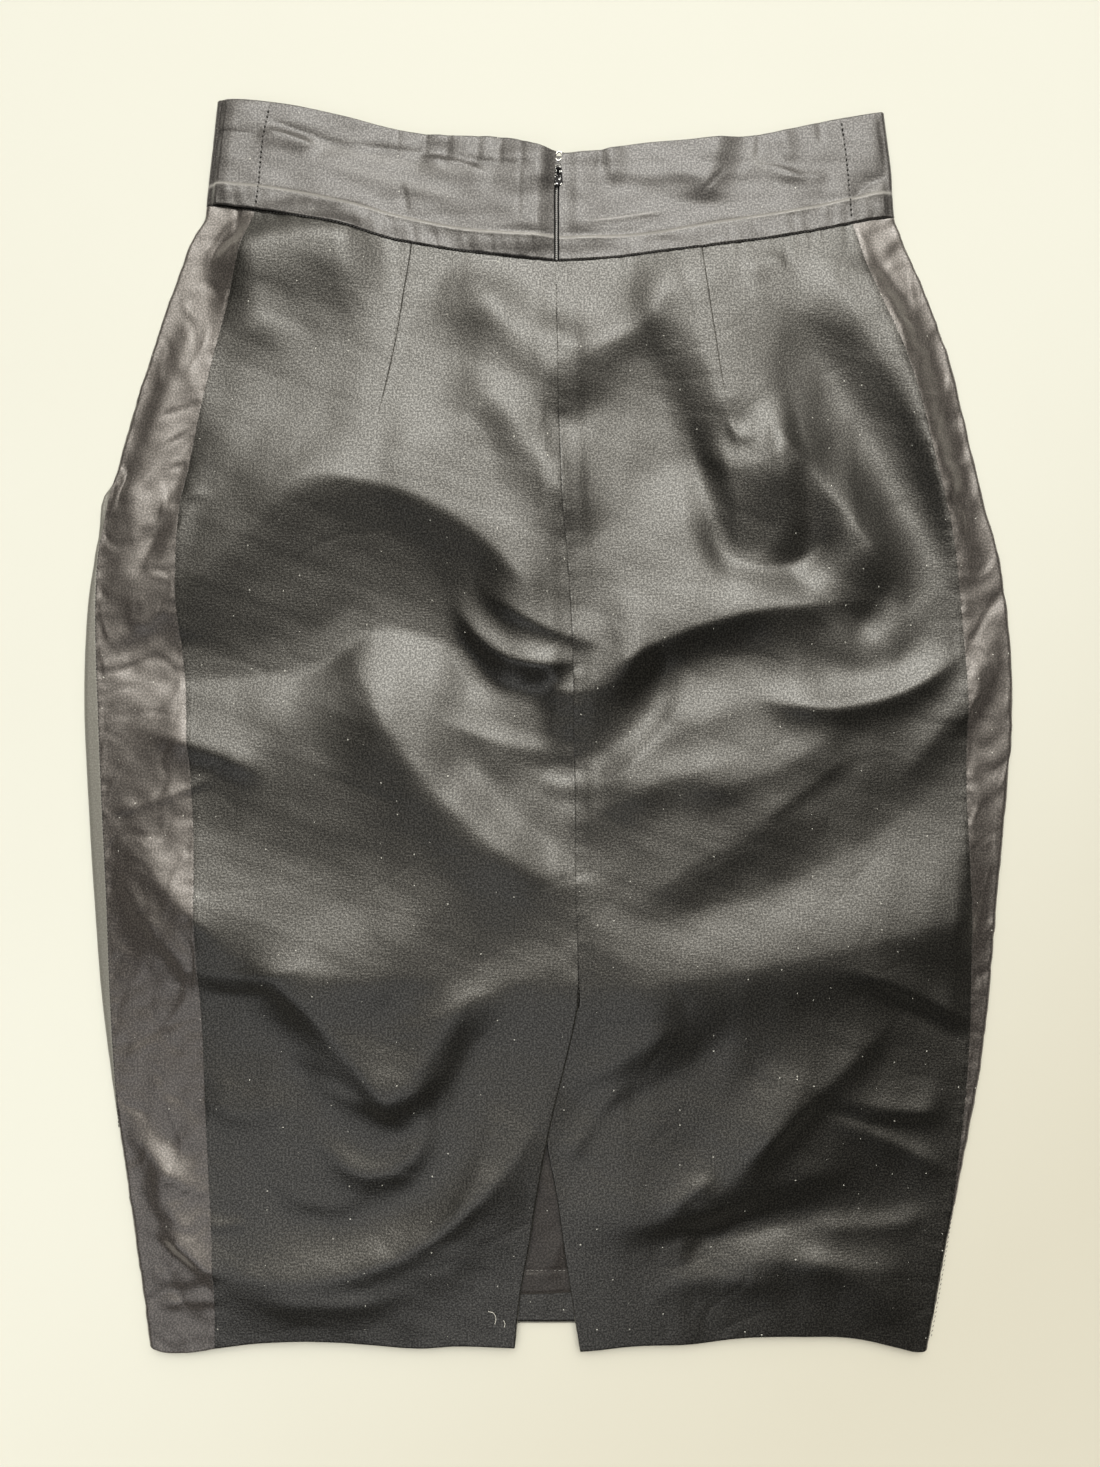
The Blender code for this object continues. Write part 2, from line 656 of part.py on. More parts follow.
def combine(piece, other, operation):
    """Adds the other shape to the piece, or cuts it out, and keeps the other as a hidden guide."""
    change = piece.modifiers.new(other.name, "BOOLEAN")
    change.operation = operation
    change.object = other
    other.hide_render = True
    other.display_type = "WIRE"


def circle(radius, count):
    """Points evenly round a circle."""
    angles = 2 * math.pi * np.arange(count) / count
    return list(zip(radius * np.cos(angles), radius * np.sin(angles)))


def tab_outline():
    """A bar across the top, straight arms, then a rounded drop that is widest near its end."""
    shoulder, widest = TAB_SHOULDER / 2, TAB_WIDTH / 2
    end = -TAB_LENGTH + TAB_BAR / 2
    bulge = end + widest
    right = [(shoulder, TAB_BAR / 2), (shoulder, -3.2), (widest, bulge)]
    drop = [(widest * math.cos(a), bulge - widest * math.sin(a)) for a in np.radians((30, 60, 90, 120, 150))]
    left = [(-widest, bulge), (-shoulder, -3.2), (-shoulder, TAB_BAR / 2)]
    return (right + drop + left)[::-1]


def zip_parts(black_metal, nickel, tape):
    """The closed chain in its slot, the slider, its pull tab on a hinge empty, and the hook."""
    half_chain = (ZIP_CHAIN + SEAM_GAP) / 2
    chain = between(lambda y: tube("centre", y) - half_chain, lambda y: tube("centre", y) + half_chain)
    chain_top = SLIDER_HEIGHT - SLIDER_SIZE[1] / 2 - LAYER_GAP
    chain_ends = (above_skirt, lambda x, under: np.full_like(x, chain_top))

    def chain_drop(x, y):
        return np.full_like(x, CHAIN_DROP)

    skin("zip_chain", tape, np.linspace(0, 1, 4), 6, chain, chain_ends, SHELL_WALL, chain_drop)

    x = float(tube("centre", SLIDER_HEIGHT))
    surface = float(drape(np.array(x), np.array(SLIDER_HEIGHT)))
    body_top = surface - BAND_WALL - SLIDER_BELOW_BAND
    pin = (x, SLIDER_HEIGHT, surface + PIN_RISE)
    body_centre = (x, SLIDER_HEIGHT, body_top - SLIDER_SIZE[2] / 2)
    slider = box("zip_slider", black_metal, body_centre, SLIDER_SIZE, rounding=0.5)
    stem_base, stem_top = body_top - 0.5, pin[2] - BRIDGE_HOLE - 0.3
    stem_centre = (x, SLIDER_HEIGHT, (stem_base + stem_top) / 2)
    stem = box("slider stem", black_metal, stem_centre, (BRIDGE_WIDTH, 2.4, stem_top - stem_base))

    def upright(u, v, offset):
        return (pin[0] + offset, pin[1] + u, pin[2] + v)

    bridge = outline_plate("slider bridge", black_metal, circle(BRIDGE_RADIUS, 20), upright, BRIDGE_WIDTH)
    bore = outline_plate("bridge bore", black_metal, circle(BRIDGE_HOLE, 16), upright, 2 * BRIDGE_WIDTH)
    combine(slider, stem, "UNION")
    combine(slider, bridge, "UNION")
    combine(slider, bore, "DIFFERENCE")

    hinge = bpy.data.objects.new("pull tab hinge", None)
    hinge.location = np.array(pin) * MM
    bpy.context.scene.collection.objects.link(hinge)

    def lying(u, v, offset):
        return (u, v, offset)

    tab = outline_plate("zip_pull_tab", black_metal, tab_outline(), lying, TAB_THICK)
    window_centre = (0, -TAB_BAR / 2 - TAB_WINDOW[1] / 2, 0)
    window = box("tab window", black_metal, window_centre, (*TAB_WINDOW, 2 * TAB_THICK))
    tab.parent = hinge
    window.parent = hinge
    combine(tab, window, "DIFFERENCE")

    hook_x = float(tube("centre", HOOK_HEIGHT))
    hook_z = float(drape(np.array(hook_x), np.array(HOOK_HEIGHT))) + LAYER_GAP + HOOK_WIRE
    bpy.ops.mesh.primitive_torus_add(
        major_segments=16, minor_segments=6, major_radius=1 * MM, minor_radius=HOOK_WIRE * MM
    )
    hook = bpy.context.object
    hook.name = "waist_hook"
    for vertex in hook.data.vertices:
        angle = math.atan2(vertex.co.y, vertex.co.x)
        vertex.co.x += (HOOK_HALF_SIZE[0] - 1) * math.cos(angle) * MM
        vertex.co.y += (HOOK_HALF_SIZE[1] - 1) * math.sin(angle) * MM
    hook.location = np.array((hook_x, HOOK_HEIGHT, hook_z)) * MM
    hook.data.materials.append(nickel)


def main():
    for existing in list(bpy.data.objects):
        bpy.data.objects.remove(existing)
    wool = cloth("black wool sateen", (0.024, 0.024, 0.022), 0.5)
    satin = cloth("black satin", (0.034, 0.029, 0.028), 0.42)
    lining_satin = cloth("black lining", (0.032, 0.029, 0.028), 0.38)
    black_metal = cloth("black enamelled metal", (0.012, 0.012, 0.014), 0.35, 0.6)
    nickel = cloth("nickel", (0.72, 0.71, 0.68), 0.28, 1.0)
    tape = cloth("grey zip tape", (0.16, 0.16, 0.165), 0.5)
    skirt_panels(wool, satin)
    waistband(satin)
    inside_the_slit(wool, lining_satin)
    zip_parts(black_metal, nickel, tape)


main()
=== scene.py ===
"""Looks of a black pencil skirt that lies face down on a pale surface.

Sizes in the tables and the named sizes are millimetres, and MM turns them into metres. The camera's and
the lamp's places are metres. +Z is up, +Y runs from the hem to the waist, and +X is to the right of
someone who looks down on the back.
"""

import math

import bpy
import numpy as np
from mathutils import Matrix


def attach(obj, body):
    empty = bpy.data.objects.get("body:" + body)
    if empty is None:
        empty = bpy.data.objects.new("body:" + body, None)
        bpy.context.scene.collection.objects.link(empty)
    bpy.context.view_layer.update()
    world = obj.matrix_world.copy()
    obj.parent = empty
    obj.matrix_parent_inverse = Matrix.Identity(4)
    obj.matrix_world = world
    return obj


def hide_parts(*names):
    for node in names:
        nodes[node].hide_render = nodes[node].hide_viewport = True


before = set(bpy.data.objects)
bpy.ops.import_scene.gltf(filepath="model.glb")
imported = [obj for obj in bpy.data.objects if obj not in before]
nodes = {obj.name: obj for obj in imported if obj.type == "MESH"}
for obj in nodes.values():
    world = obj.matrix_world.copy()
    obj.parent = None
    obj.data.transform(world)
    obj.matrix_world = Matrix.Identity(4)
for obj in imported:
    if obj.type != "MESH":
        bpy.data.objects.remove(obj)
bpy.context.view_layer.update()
scene = bpy.context.scene
MM = 0.001


# Camera. It looks straight down on the middle of the skirt, with its top towards the waist.

CAMERA_PLACE = (0.00077, -0.0033, 0.562)
CAMERA_LENS = 27
CAMERA_SENSOR = 36

camera = bpy.data.objects.new("camera", bpy.data.cameras.new("camera"))
camera.location = CAMERA_PLACE
camera.data.lens = CAMERA_LENS
camera.data.sensor_width = CAMERA_SENSOR
scene.collection.objects.link(camera)
scene.camera = camera
scene.view_settings.view_transform = "Standard"


# Light. A wide soft window stands high beyond the waist: the sky is brightest there and fades all
# round it into the even light of the room, whose pale walls glow a little near the floor. A dim broad
# lamp hangs over the floor beyond the hem.

WINDOW_ELEVATION = math.radians(56)
WINDOW_AZIMUTH = math.radians(4)
WINDOW_STRENGTH = 8.1
WINDOW_SHARPNESS = 9.6
WINDOW_COLOUR = (1, 0.99, 0.94, 1)
ROOM_STRENGTH = 0.028
ROOM_COLOUR = (1, 0.93, 0.8, 1)
WALLS_STRENGTH = 1.0
WALLS_LOWNESS = 7.0
LAMP_PLACE = (-0.4, -0.725, 0.9)
LAMP_SIZE = (1.1, 0.55)
LAMP_WATTS = 1.95


def add(tree, kind, inputs=(), **settings):
    """Adds a shader node. Each input gets a number, a colour, or the socket that feeds it."""
    made = tree.nodes.new("ShaderNode" + kind)
    for setting, value in settings.items():
        setattr(made, setting, value)
    for socket, value in dict(inputs).items():
        if isinstance(value, bpy.types.NodeSocket):
            tree.links.new(value, made.inputs[socket])
        else:
            made.inputs[socket].default_value = value
    return made


def maths(tree, operation, *values):
    """What a Math node works out from its values, each a number or the socket that feeds it."""
    return add(tree, "Math", dict(enumerate(values)), operation=operation).outputs[0]


def vector_maths(tree, operation, first, second):
    """As maths, but for two vectors, whose dot product is a value."""
    made = add(tree, "VectorMath", {0: first, 1: second}, operation=operation)
    return made.outputs["Value" if operation == "DOT_PRODUCT" else "Vector"]


def mixed(tree, factor, first, second):
    """A colour between two, by a factor. Either one is a colour or the socket that feeds it."""
    return add(tree, "Mix", {0: factor, 6: first, 7: second}, data_type="RGBA").outputs[2]


scene.world = bpy.data.worlds.new("room")
scene.world.use_nodes = True
sky = scene.world.node_tree
towards_window = (
    math.cos(WINDOW_ELEVATION) * math.sin(WINDOW_AZIMUTH),
    math.cos(WINDOW_ELEVATION) * math.cos(WINDOW_AZIMUTH),
    math.sin(WINDOW_ELEVATION),
)
direction = add(sky, "TexCoord").outputs["Generated"]
facing = vector_maths(sky, "DOT_PRODUCT", direction, towards_window)
lobe = maths(sky, "EXPONENT", maths(sky, "MULTIPLY_ADD", facing, WINDOW_SHARPNESS, -WINDOW_SHARPNESS))
rise = maths(sky, "ABSOLUTE", add(sky, "SeparateXYZ", {0: direction}).outputs["Z"])
lowness = maths(sky, "POWER", maths(sky, "SUBTRACT", 1.0, rise), WALLS_LOWNESS)
strength = maths(sky, "MULTIPLY_ADD", lobe, WINDOW_STRENGTH, ROOM_STRENGTH)
strength = maths(sky, "MULTIPLY_ADD", lowness, WALLS_STRENGTH, strength)
background = sky.nodes["Background"]
sky.links.new(mixed(sky, lobe, ROOM_COLOUR, WINDOW_COLOUR), background.inputs["Color"])
sky.links.new(strength, background.inputs["Strength"])

lamp = bpy.data.lights.new("lamp over the floor", "AREA")
lamp.shape = "RECTANGLE"
lamp.size, lamp.size_y = LAMP_SIZE
lamp.energy = LAMP_WATTS
lamp_holder = bpy.data.objects.new("lamp over the floor", lamp)
lamp_holder.location = LAMP_PLACE
scene.collection.objects.link(lamp_holder)


# Surface that the skirt lies on: a smooth cream sheet, with painted shade that makes it a little yellower
# and darker towards one corner.

FLOOR_HALF = 2200.0
FLOOR_DROP = 0.2
CREAM = (0.668, 0.68, 0.622, 1)
CREAM_IN_PAINTED_SHADE = (0.562, 0.546, 0.466, 1)
TOWARDS_CORNER = (0.8, -1.0, 0)
CORNER_SHADE = (-0.05, 0.56)


def new_material(name, constants):
    """A material with its shader and its node tree. What is the same all over goes on the sockets."""
    made = bpy.data.materials.new(name)
    made.use_nodes = True
    shader = made.node_tree.nodes["Principled BSDF"]
    for socket, value in constants.items():
        shader.inputs[socket].default_value = value
    return made, shader, made.node_tree


def noise(tree, place, scale, detail, **settings):
    """A cloudy value from 0 to 1 at a place."""
    given = {"Vector": place, "Scale": scale, "Detail": detail}
    return add(tree, "TexNoise", given, **settings).outputs["Fac"]


def ranged(tree, value, to_low, to_high, from_low=0.0, from_high=1.0, **settings):
    """A value carried from one range over to another."""
    given = {"Value": value, "To Min": to_low, "To Max": to_high}
    given.update({"From Min": from_low, "From Max": from_high})
    return add(tree, "MapRange", given, **settings).outputs["Result"]


def new_piece(name, points, faces, material):
    """A smooth piece in the scene, from its points in millimetres and the point numbers of its faces."""
    mesh = bpy.data.meshes.new(name)
    mesh.from_pydata((points.reshape(-1, 3) * MM).tolist(), [], faces)
    mesh.shade_smooth()
    mesh.materials.append(material)
    piece = bpy.data.objects.new(name, mesh)
    scene.collection.objects.link(piece)
    return piece


cream, cream_shader, tree = new_material("cream surface", {"Roughness": 0.6})
spot = add(tree, "TexCoord").outputs["Object"]
out_to_corner = vector_maths(tree, "DOT_PRODUCT", spot, TOWARDS_CORNER)
# Painted shade: the cream turns darker and yellower towards one corner
painted_shade_at_corner = ranged(tree, out_to_corner, 0.0, 1.0, *CORNER_SHADE, interpolation_type="SMOOTHSTEP")
shade = maths(tree, "MULTIPLY_ADD", noise(tree, spot, 9.0, 2.0), 0.1, painted_shade_at_corner)
tree.links.new(mixed(tree, shade, CREAM, CREAM_IN_PAINTED_SHADE), cream_shader.inputs["Base Color"])

floor_corners = np.array(((-1, -1), (1, -1), (1, 1), (-1, 1))) * FLOOR_HALF
floor_points = np.column_stack([floor_corners, np.full(4, -FLOOR_DROP)])
floor = new_piece("floor", floor_points, [(0, 1, 2, 3)], cream)


# Back panels. Two panels of black wool sateen, cut along the grain, with a waist dart each. They are
# sewn together down the centre back to the slit, whose left flap laps over the right one, then parts.

CLOTH_WALL = 0.8
SEWN_GAP = 0.03
EDGE_RADIUS = 2.5
LEAST_HEIGHT = 3.4
FLOOR_SOFTNESS = 0.4
LOFT_REACH = 90.0
FOLD_FADE = 22.0
FOLD_TAPER = 0.3
SEAM_END = -139.2
FLAPS_PART = -212.0
LAP_DROP = 1.6
LAP_REACH = 46.0
LAP_BLEND = 36.0
LAP_FADE = 40.0
DROP_START = 40.0
DROP_RUN = 36.0
SLIT_MIDDLE = 3.0
SLIT_HALF_WIDTH = 34.0
SLIT_FADE = 12.0
SLIT_SPARE = 2.0
LINING_LEFT = -62.0
LINING_RIGHT = 66.0
LINING_TOP = -196.0
LINING_FADE = 15.0
OVER_LINING = 5.4
UNEVEN_HEIGHT = 0.1
UNEVEN_LENGTHS = (14, 34)
COLUMNS_BY_EDGE = (0.05, 0.25, 0.5, 0.85, 1.3, 2.0)
CLOSEST_COLUMNS = 0.04
SETTLING_ROUNDS = 8
SEAM_REACH = 0.3
HEM_ROUNDING = 0.9
TOP_ROUNDING = 0.6
FLAP_ROUNDING = 0.8
CENTRE_DITCH = 0.09
SIDE_DITCH = 0.02
ALLOWANCE_EDGE = 9.0
ALLOWANCE_RIDGE = 0.22
DART_FOLD = 9.0
DART_LENGTH = 110.0
DART_PADDING = 0.15
DART_DITCH_LEFT = 0.12
DART_DITCH_RIGHT = 0.04

# Across the tube at each height: the two folded edges and the seams. A seam beyond an edge has gone
# round the fold, and its place is measured on along the cloth.
TUBE_COLUMNS = ("height", "left_edge", "left_front", "left_back", "centre", "right_back", "right_edge")
TUBE = (
    (317.5, -168.2, -171.6, -140.0, 5.9, 146.6, 169.6),
    (294.3, -170.6, -174.7, -144.4, 5.6, 149.7, 172.6),
    (281.5, -172.1, -176.4, -145.6, 4.8, 151.2, 174.2),
    (268.8, -173.5, -178.1, -146.5, 4.1, 152.2, 174.9),
    (256.0, -175.4, -180.7, -148.9, 4.1, 153.3, 176.4),
    (249.4, -179.6, -183.4, -151.2, 4.1, 155.0, 178.9),
    (243.3, -182.8, -185.9, -153.1, 4.1, 156.8, 181.5),
    (230.5, -187.4, -190.5, -157.1, 4.1, 160.9, 187.2),
    (217.8, -192.0, -195.1, -160.6, 4.2, 165.4, 192.3),
    (192.3, -200.6, -203.2, -167.2, 4.5, 176.6, 201.9),
    (166.8, -208.8, -210.4, -173.7, 4.9, 185.2, 208.8),
    (141.3, -216.2, -217.5, -179.5, 5.9, 191.6, 214.7),
    (128.5, -219.6, -219.4, -182.0, 6.3, 194.9, 217.5),
    (115.8, -226.5, -222.6, -184.8, 6.8, 198.5, 220.7),
    (103.0, -228.2, -225.2, -186.1, 7.9, 201.9, 224.1),
    (90.3, -229.9, -227.5, -187.0, 9.2, 204.4, 227.7),
    (64.8, -233.7, -229.2, -187.9, 11.1, 207.8, 232.3),
    (39.3, -235.4, -229.1, -185.9, 12.3, 210.0, 234.9),
    (13.8, -235.9, -228.2, -183.2, 12.6, 211.1, 235.9),
    (-37.2, -233.8, -226.2, -179.4, 13.3, 211.5, 232.5),
    (-88.2, -230.7, -223.7, -176.8, 14.0, 213.0, 227.8),
    (-139.2, -226.7, -221.8, -175.2, 15.0, 213.6, 223.6),
    (-164.7, -223.6, -220.4, -174.3, 15.0, 212.8, 220.6),
    (-190.2, -220.1, -218.5, -173.4, 15.0, 210.8, 216.5),
    (-215.7, -216.1, -216.4, -172.4, 15.0, 207.9, 211.6),
    (-241.2, -212.4, -213.9, -171.0, 15.0, 204.8, 206.6),
    (-266.7, -208.8, -211.4, -169.6, 15.0, 200.9, 201.4),
    (-292.2, -205.3, -209.4, -168.7, 15.0, 196.6, 196.9),
    (-317.5, -202.0, -208.3, -169.1, 15.0, 191.8, 192.0),
)
LOFT_COLUMNS = ("height", "loft")
LOFT = (
    (317.5, 0.6), (281.5, 1.3), (230.0, 2.2), (120.0, 3.6), (0.0, 4.0), (-139.0, 3.2),
    (-240.0, 1.4), (-317.5, 0.3),
)
EDGE_COLUMNS = ("across", "height")
BAND_SEAM = (
    (-176.0, 263.2), (-169.6, 264.0), (-157.3, 262.1), (-136.9, 258.1), (-96.1, 249.7),
    (-55.3, 241.7), (-14.5, 236.6), (3.8, 235.2), (26.3, 236.3), (67.1, 240.0),
    (118.1, 247.3), (153.8, 254.5), (164.0, 256.8), (176.5, 258.2),
)
BACK_HEM = (
    (-204.3, -313.8), (-195.6, -316.9), (-185.4, -317.5), (-170.1, -315.3), (-149.7, -312.6),
    (-124.2, -311.2), (-88.5, -313.1), (-68.1, -314.9), (-47.7, -313.8), (-17.6, -314.7),
    (16.1, -316.4), (44.1, -313.7), (74.7, -312.6), (95.1, -309.9), (128.3, -309.1),
    (156.3, -310.2), (176.7, -314.7), (186.9, -317.0), (195.6, -315.9),
)
FRONT_HEM = (
    (-204.3, -313.8), (-150.0, -308.5), (-80.0, -304.4), (0.0, -303.6), (80.0, -304.4),
    (150.0, -308.5), (195.6, -315.9),
)
SLIT_COLUMNS = ("height", "left_flap", "right_flap")
SLIT = (
    (-317.0, -17.2, 16.1), (-287.1, -14.0, 11.3), (-261.6, -9.4, 7.4),
    (-236.1, -5.4, 3.9), (-210.6, -0.8, -0.9), (-195.3, 2.5, -1.8),
    (-177.5, 6.8, 2.3), (-154.5, 12.1, 8.9), (-139.2, 15.0, 15.0),
)
# The darts' seam lines, which run on below the darts' points as plain guides for the grid
DART_COLUMNS = ("height", "left_dart", "right_dart")
DARTS = (
    (262.0, -68.6, 77.0), (243.8, -69.6, 77.3), (217.8, -73.7, 80.3),
    (197.4, -76.8, 83.4), (161.7, -84.4, 89.4), (147.4, -87.4, 92.6),
    (0.0, -86.0, 110.0), (-317.5, -92.0, 104.0),
)
DART_POINTS = {"left_dart": 150.5, "right_dart": 147.4}

# The folds of the back: three points along each, its height (a trough's is negative), and its reach
# to the left and to the right of someone who walks along it from its first point
FOLD_COLUMNS = ("name", "start", "middle", "end", "height", "left_reach", "right_reach", "roundness")
FOLDS = (
    ("left shoulder ridge", (-175, 225), (-134, 243), (-76, 235), 8.6, 17, 32, 1.9),
    ("left shoulder second ridge", (-188, 167), (-155, 198), (-117, 197), 1.8, 12, 15, 1.8),
    ("left satin ridge", (-233, 65), (-208, 137), (-174, 215), 3.8, 22, 10, 1.7),
    ("left arm", (-239, 28), (-167, 85), (-101, 151), 5.0, 56, 26, 1.4),
    ("hip crest", (-165, 121), (-76, 119), (14, 24), 8.0, 43, 22, 1.4),
    ("hip valley left", (-239, 46), (-165, 28), (-86, 46), -6.8, 47, 15, 1.3),
    ("hip valley right", (-132, 36), (-78, 50), (-15, 13), -6.0, 49, 20, 1.4),
    ("smile under valley", (-55, 46), (-22, 19), (21, 25), -2.4, 10, 17, 1.6),
    ("centre streak one", (-53, 234), (-21, 201), (21, 154), 6.2, 17, 19, 1.8),
    ("centre streak two", (-52, 188), (-14, 147), (22, 91), 4.8, 15, 16, 1.8),
    ("centre grey patch", (-86, 131), (-55, 146), (-25, 136), 1.6, 12, 18, 1.9),
    ("patch under band", (-15, 195), (26, 191), (67, 231), 5.6, 15, 21, 1.7),
    ("w left crest", (54, 256), (78, 187), (100, 126), 6.6, 51, 20, 1.5),
    ("w left hollow", (34, 220), (58, 164), (80, 103), -4.0, 20, 31, 1.7),
    ("w middle crest", (72, 139), (99, 129), (126, 151), 5.0, 15, 31, 1.6),
    ("w right crest", (100, 162), (133, 126), (182, 59), 7.6, 22, 21, 1.4),
    ("w valley", (67, 108), (99, 83), (154, 108), -5.6, 31, 12, 1.5),
    ("w valley right", (108, 90), (138, 67), (179, 39), -4.4, 27, 15, 1.5),
    ("right diagonal crest", (123, 256), (169, 180), (223, 70), 7.2, 34, 22, 1.5),
    ("right diagonal hollow", (114, 223), (161, 146), (201, 65), -6.2, 23, 23, 1.8),
    ("s curve left crest", (-17, 28), (21, 18), (54, 52), 4.4, 17, 23, 1.5),
    ("s curve crest", (8, 14), (80, 52), (174, 62), 6.0, 31, 12, 1.4),
    ("s curve valley left", (-30, -19), (17, -16), (70, 34), -4.2, 34, 29, 1.5),
    ("s curve valley", (31, 2), (72, 32), (133, 26), -2.4, 17, 41, 1.6),
    ("u valley", (113, 44), (153, 28), (200, 55), -2.0, 13, 15, 1.8),
    ("right streak crest", (93, 18), (154, 11), (218, 45), 4.0, 9, 9, 1.5),
    ("right side ridge", (169, -37), (202, 6), (238, 70), 1.8, 12, 10, 1.6),
    ("bright streak crest", (14, -40), (47, -14), (77, 28), 2.6, 8, 15, 1.6),
    ("patch crest", (57, -35), (105, -24), (154, 4), 1.9, 15, 11, 1.7),
    ("middle dark crest", (-4, -63), (47, -32), (108, -17), 2.4, 12, 15, 1.7),
    ("crest under the streak", (21, -37), (67, -4), (123, 14), 2.4, 15, 31, 1.8),
    ("middle low crest", (31, -96), (85, -63), (146, -37), 3.0, 31, 17, 1.6),
    ("right long valley", (21, -101), (116, -80), (223, -6), -3.4, 29, 29, 1.6),
    ("right long crest", (-55, -142), (108, -119), (291, -72), 7.2, 43, 32, 1.6),
    ("left small crest", (-208, -1), (-173, -11), (-139, -26), 3.0, 11, 8, 1.6),
    ("long diagonal valley", (-60, 14), (-25, -35), (36, -78), -3.4, 20, 17, 1.7),
    ("long diagonal crest", (-107, 55), (-57, -32), (29, -92), 6.6, 22, 23, 1.6),
    ("left broad crest", (-239, -67), (-150, -115), (-15, -116), 7.0, 49, 23, 1.7),
    ("left broad valley", (-193, -22), (-137, -68), (-60, -88), -2.0, 26, 31, 2.0),
    ("rising crest", (-91, -162), (-45, -141), (16, -116), 1.8, 12, 15, 1.7),
    ("v left crest", (-150, -114), (-104, -160), (-68, -211), 4.6, 22, 12, 1.5),
    ("v right crest", (-25, -121), (-55, -157), (-81, -206), 2.8, 15, 13, 1.8),
    ("arc crest", (-219, -261), (-106, -278), (14, -160), 3.8, 13, 22, 1.6),
    ("inside arc valley", (-157, -236), (-101, -250), (-45, -223), -1.8, 17, 15, 1.8),
    ("left satin low crest", (-229, -183), (-196, -234), (-165, -287), 2.6, 11, 9, 1.7),
    ("low right curved crest", (6, -256), (77, -239), (136, -147), 3.0, 22, 13, 1.7),
    ("low right streak crest", (85, -230), (128, -191), (179, -142), 2.6, 18, 8, 1.6),
    ("low right second crest", (52, -256), (103, -236), (164, -219), 2.0, 13, 10, 1.7),
    ("low right valley", (26, -271), (113, -248), (215, -241), -2.8, 23, 15, 1.4),
    ("hem crest right", (77, -273), (144, -276), (195, -310), 1.8, 10, 11, 1.7),
)

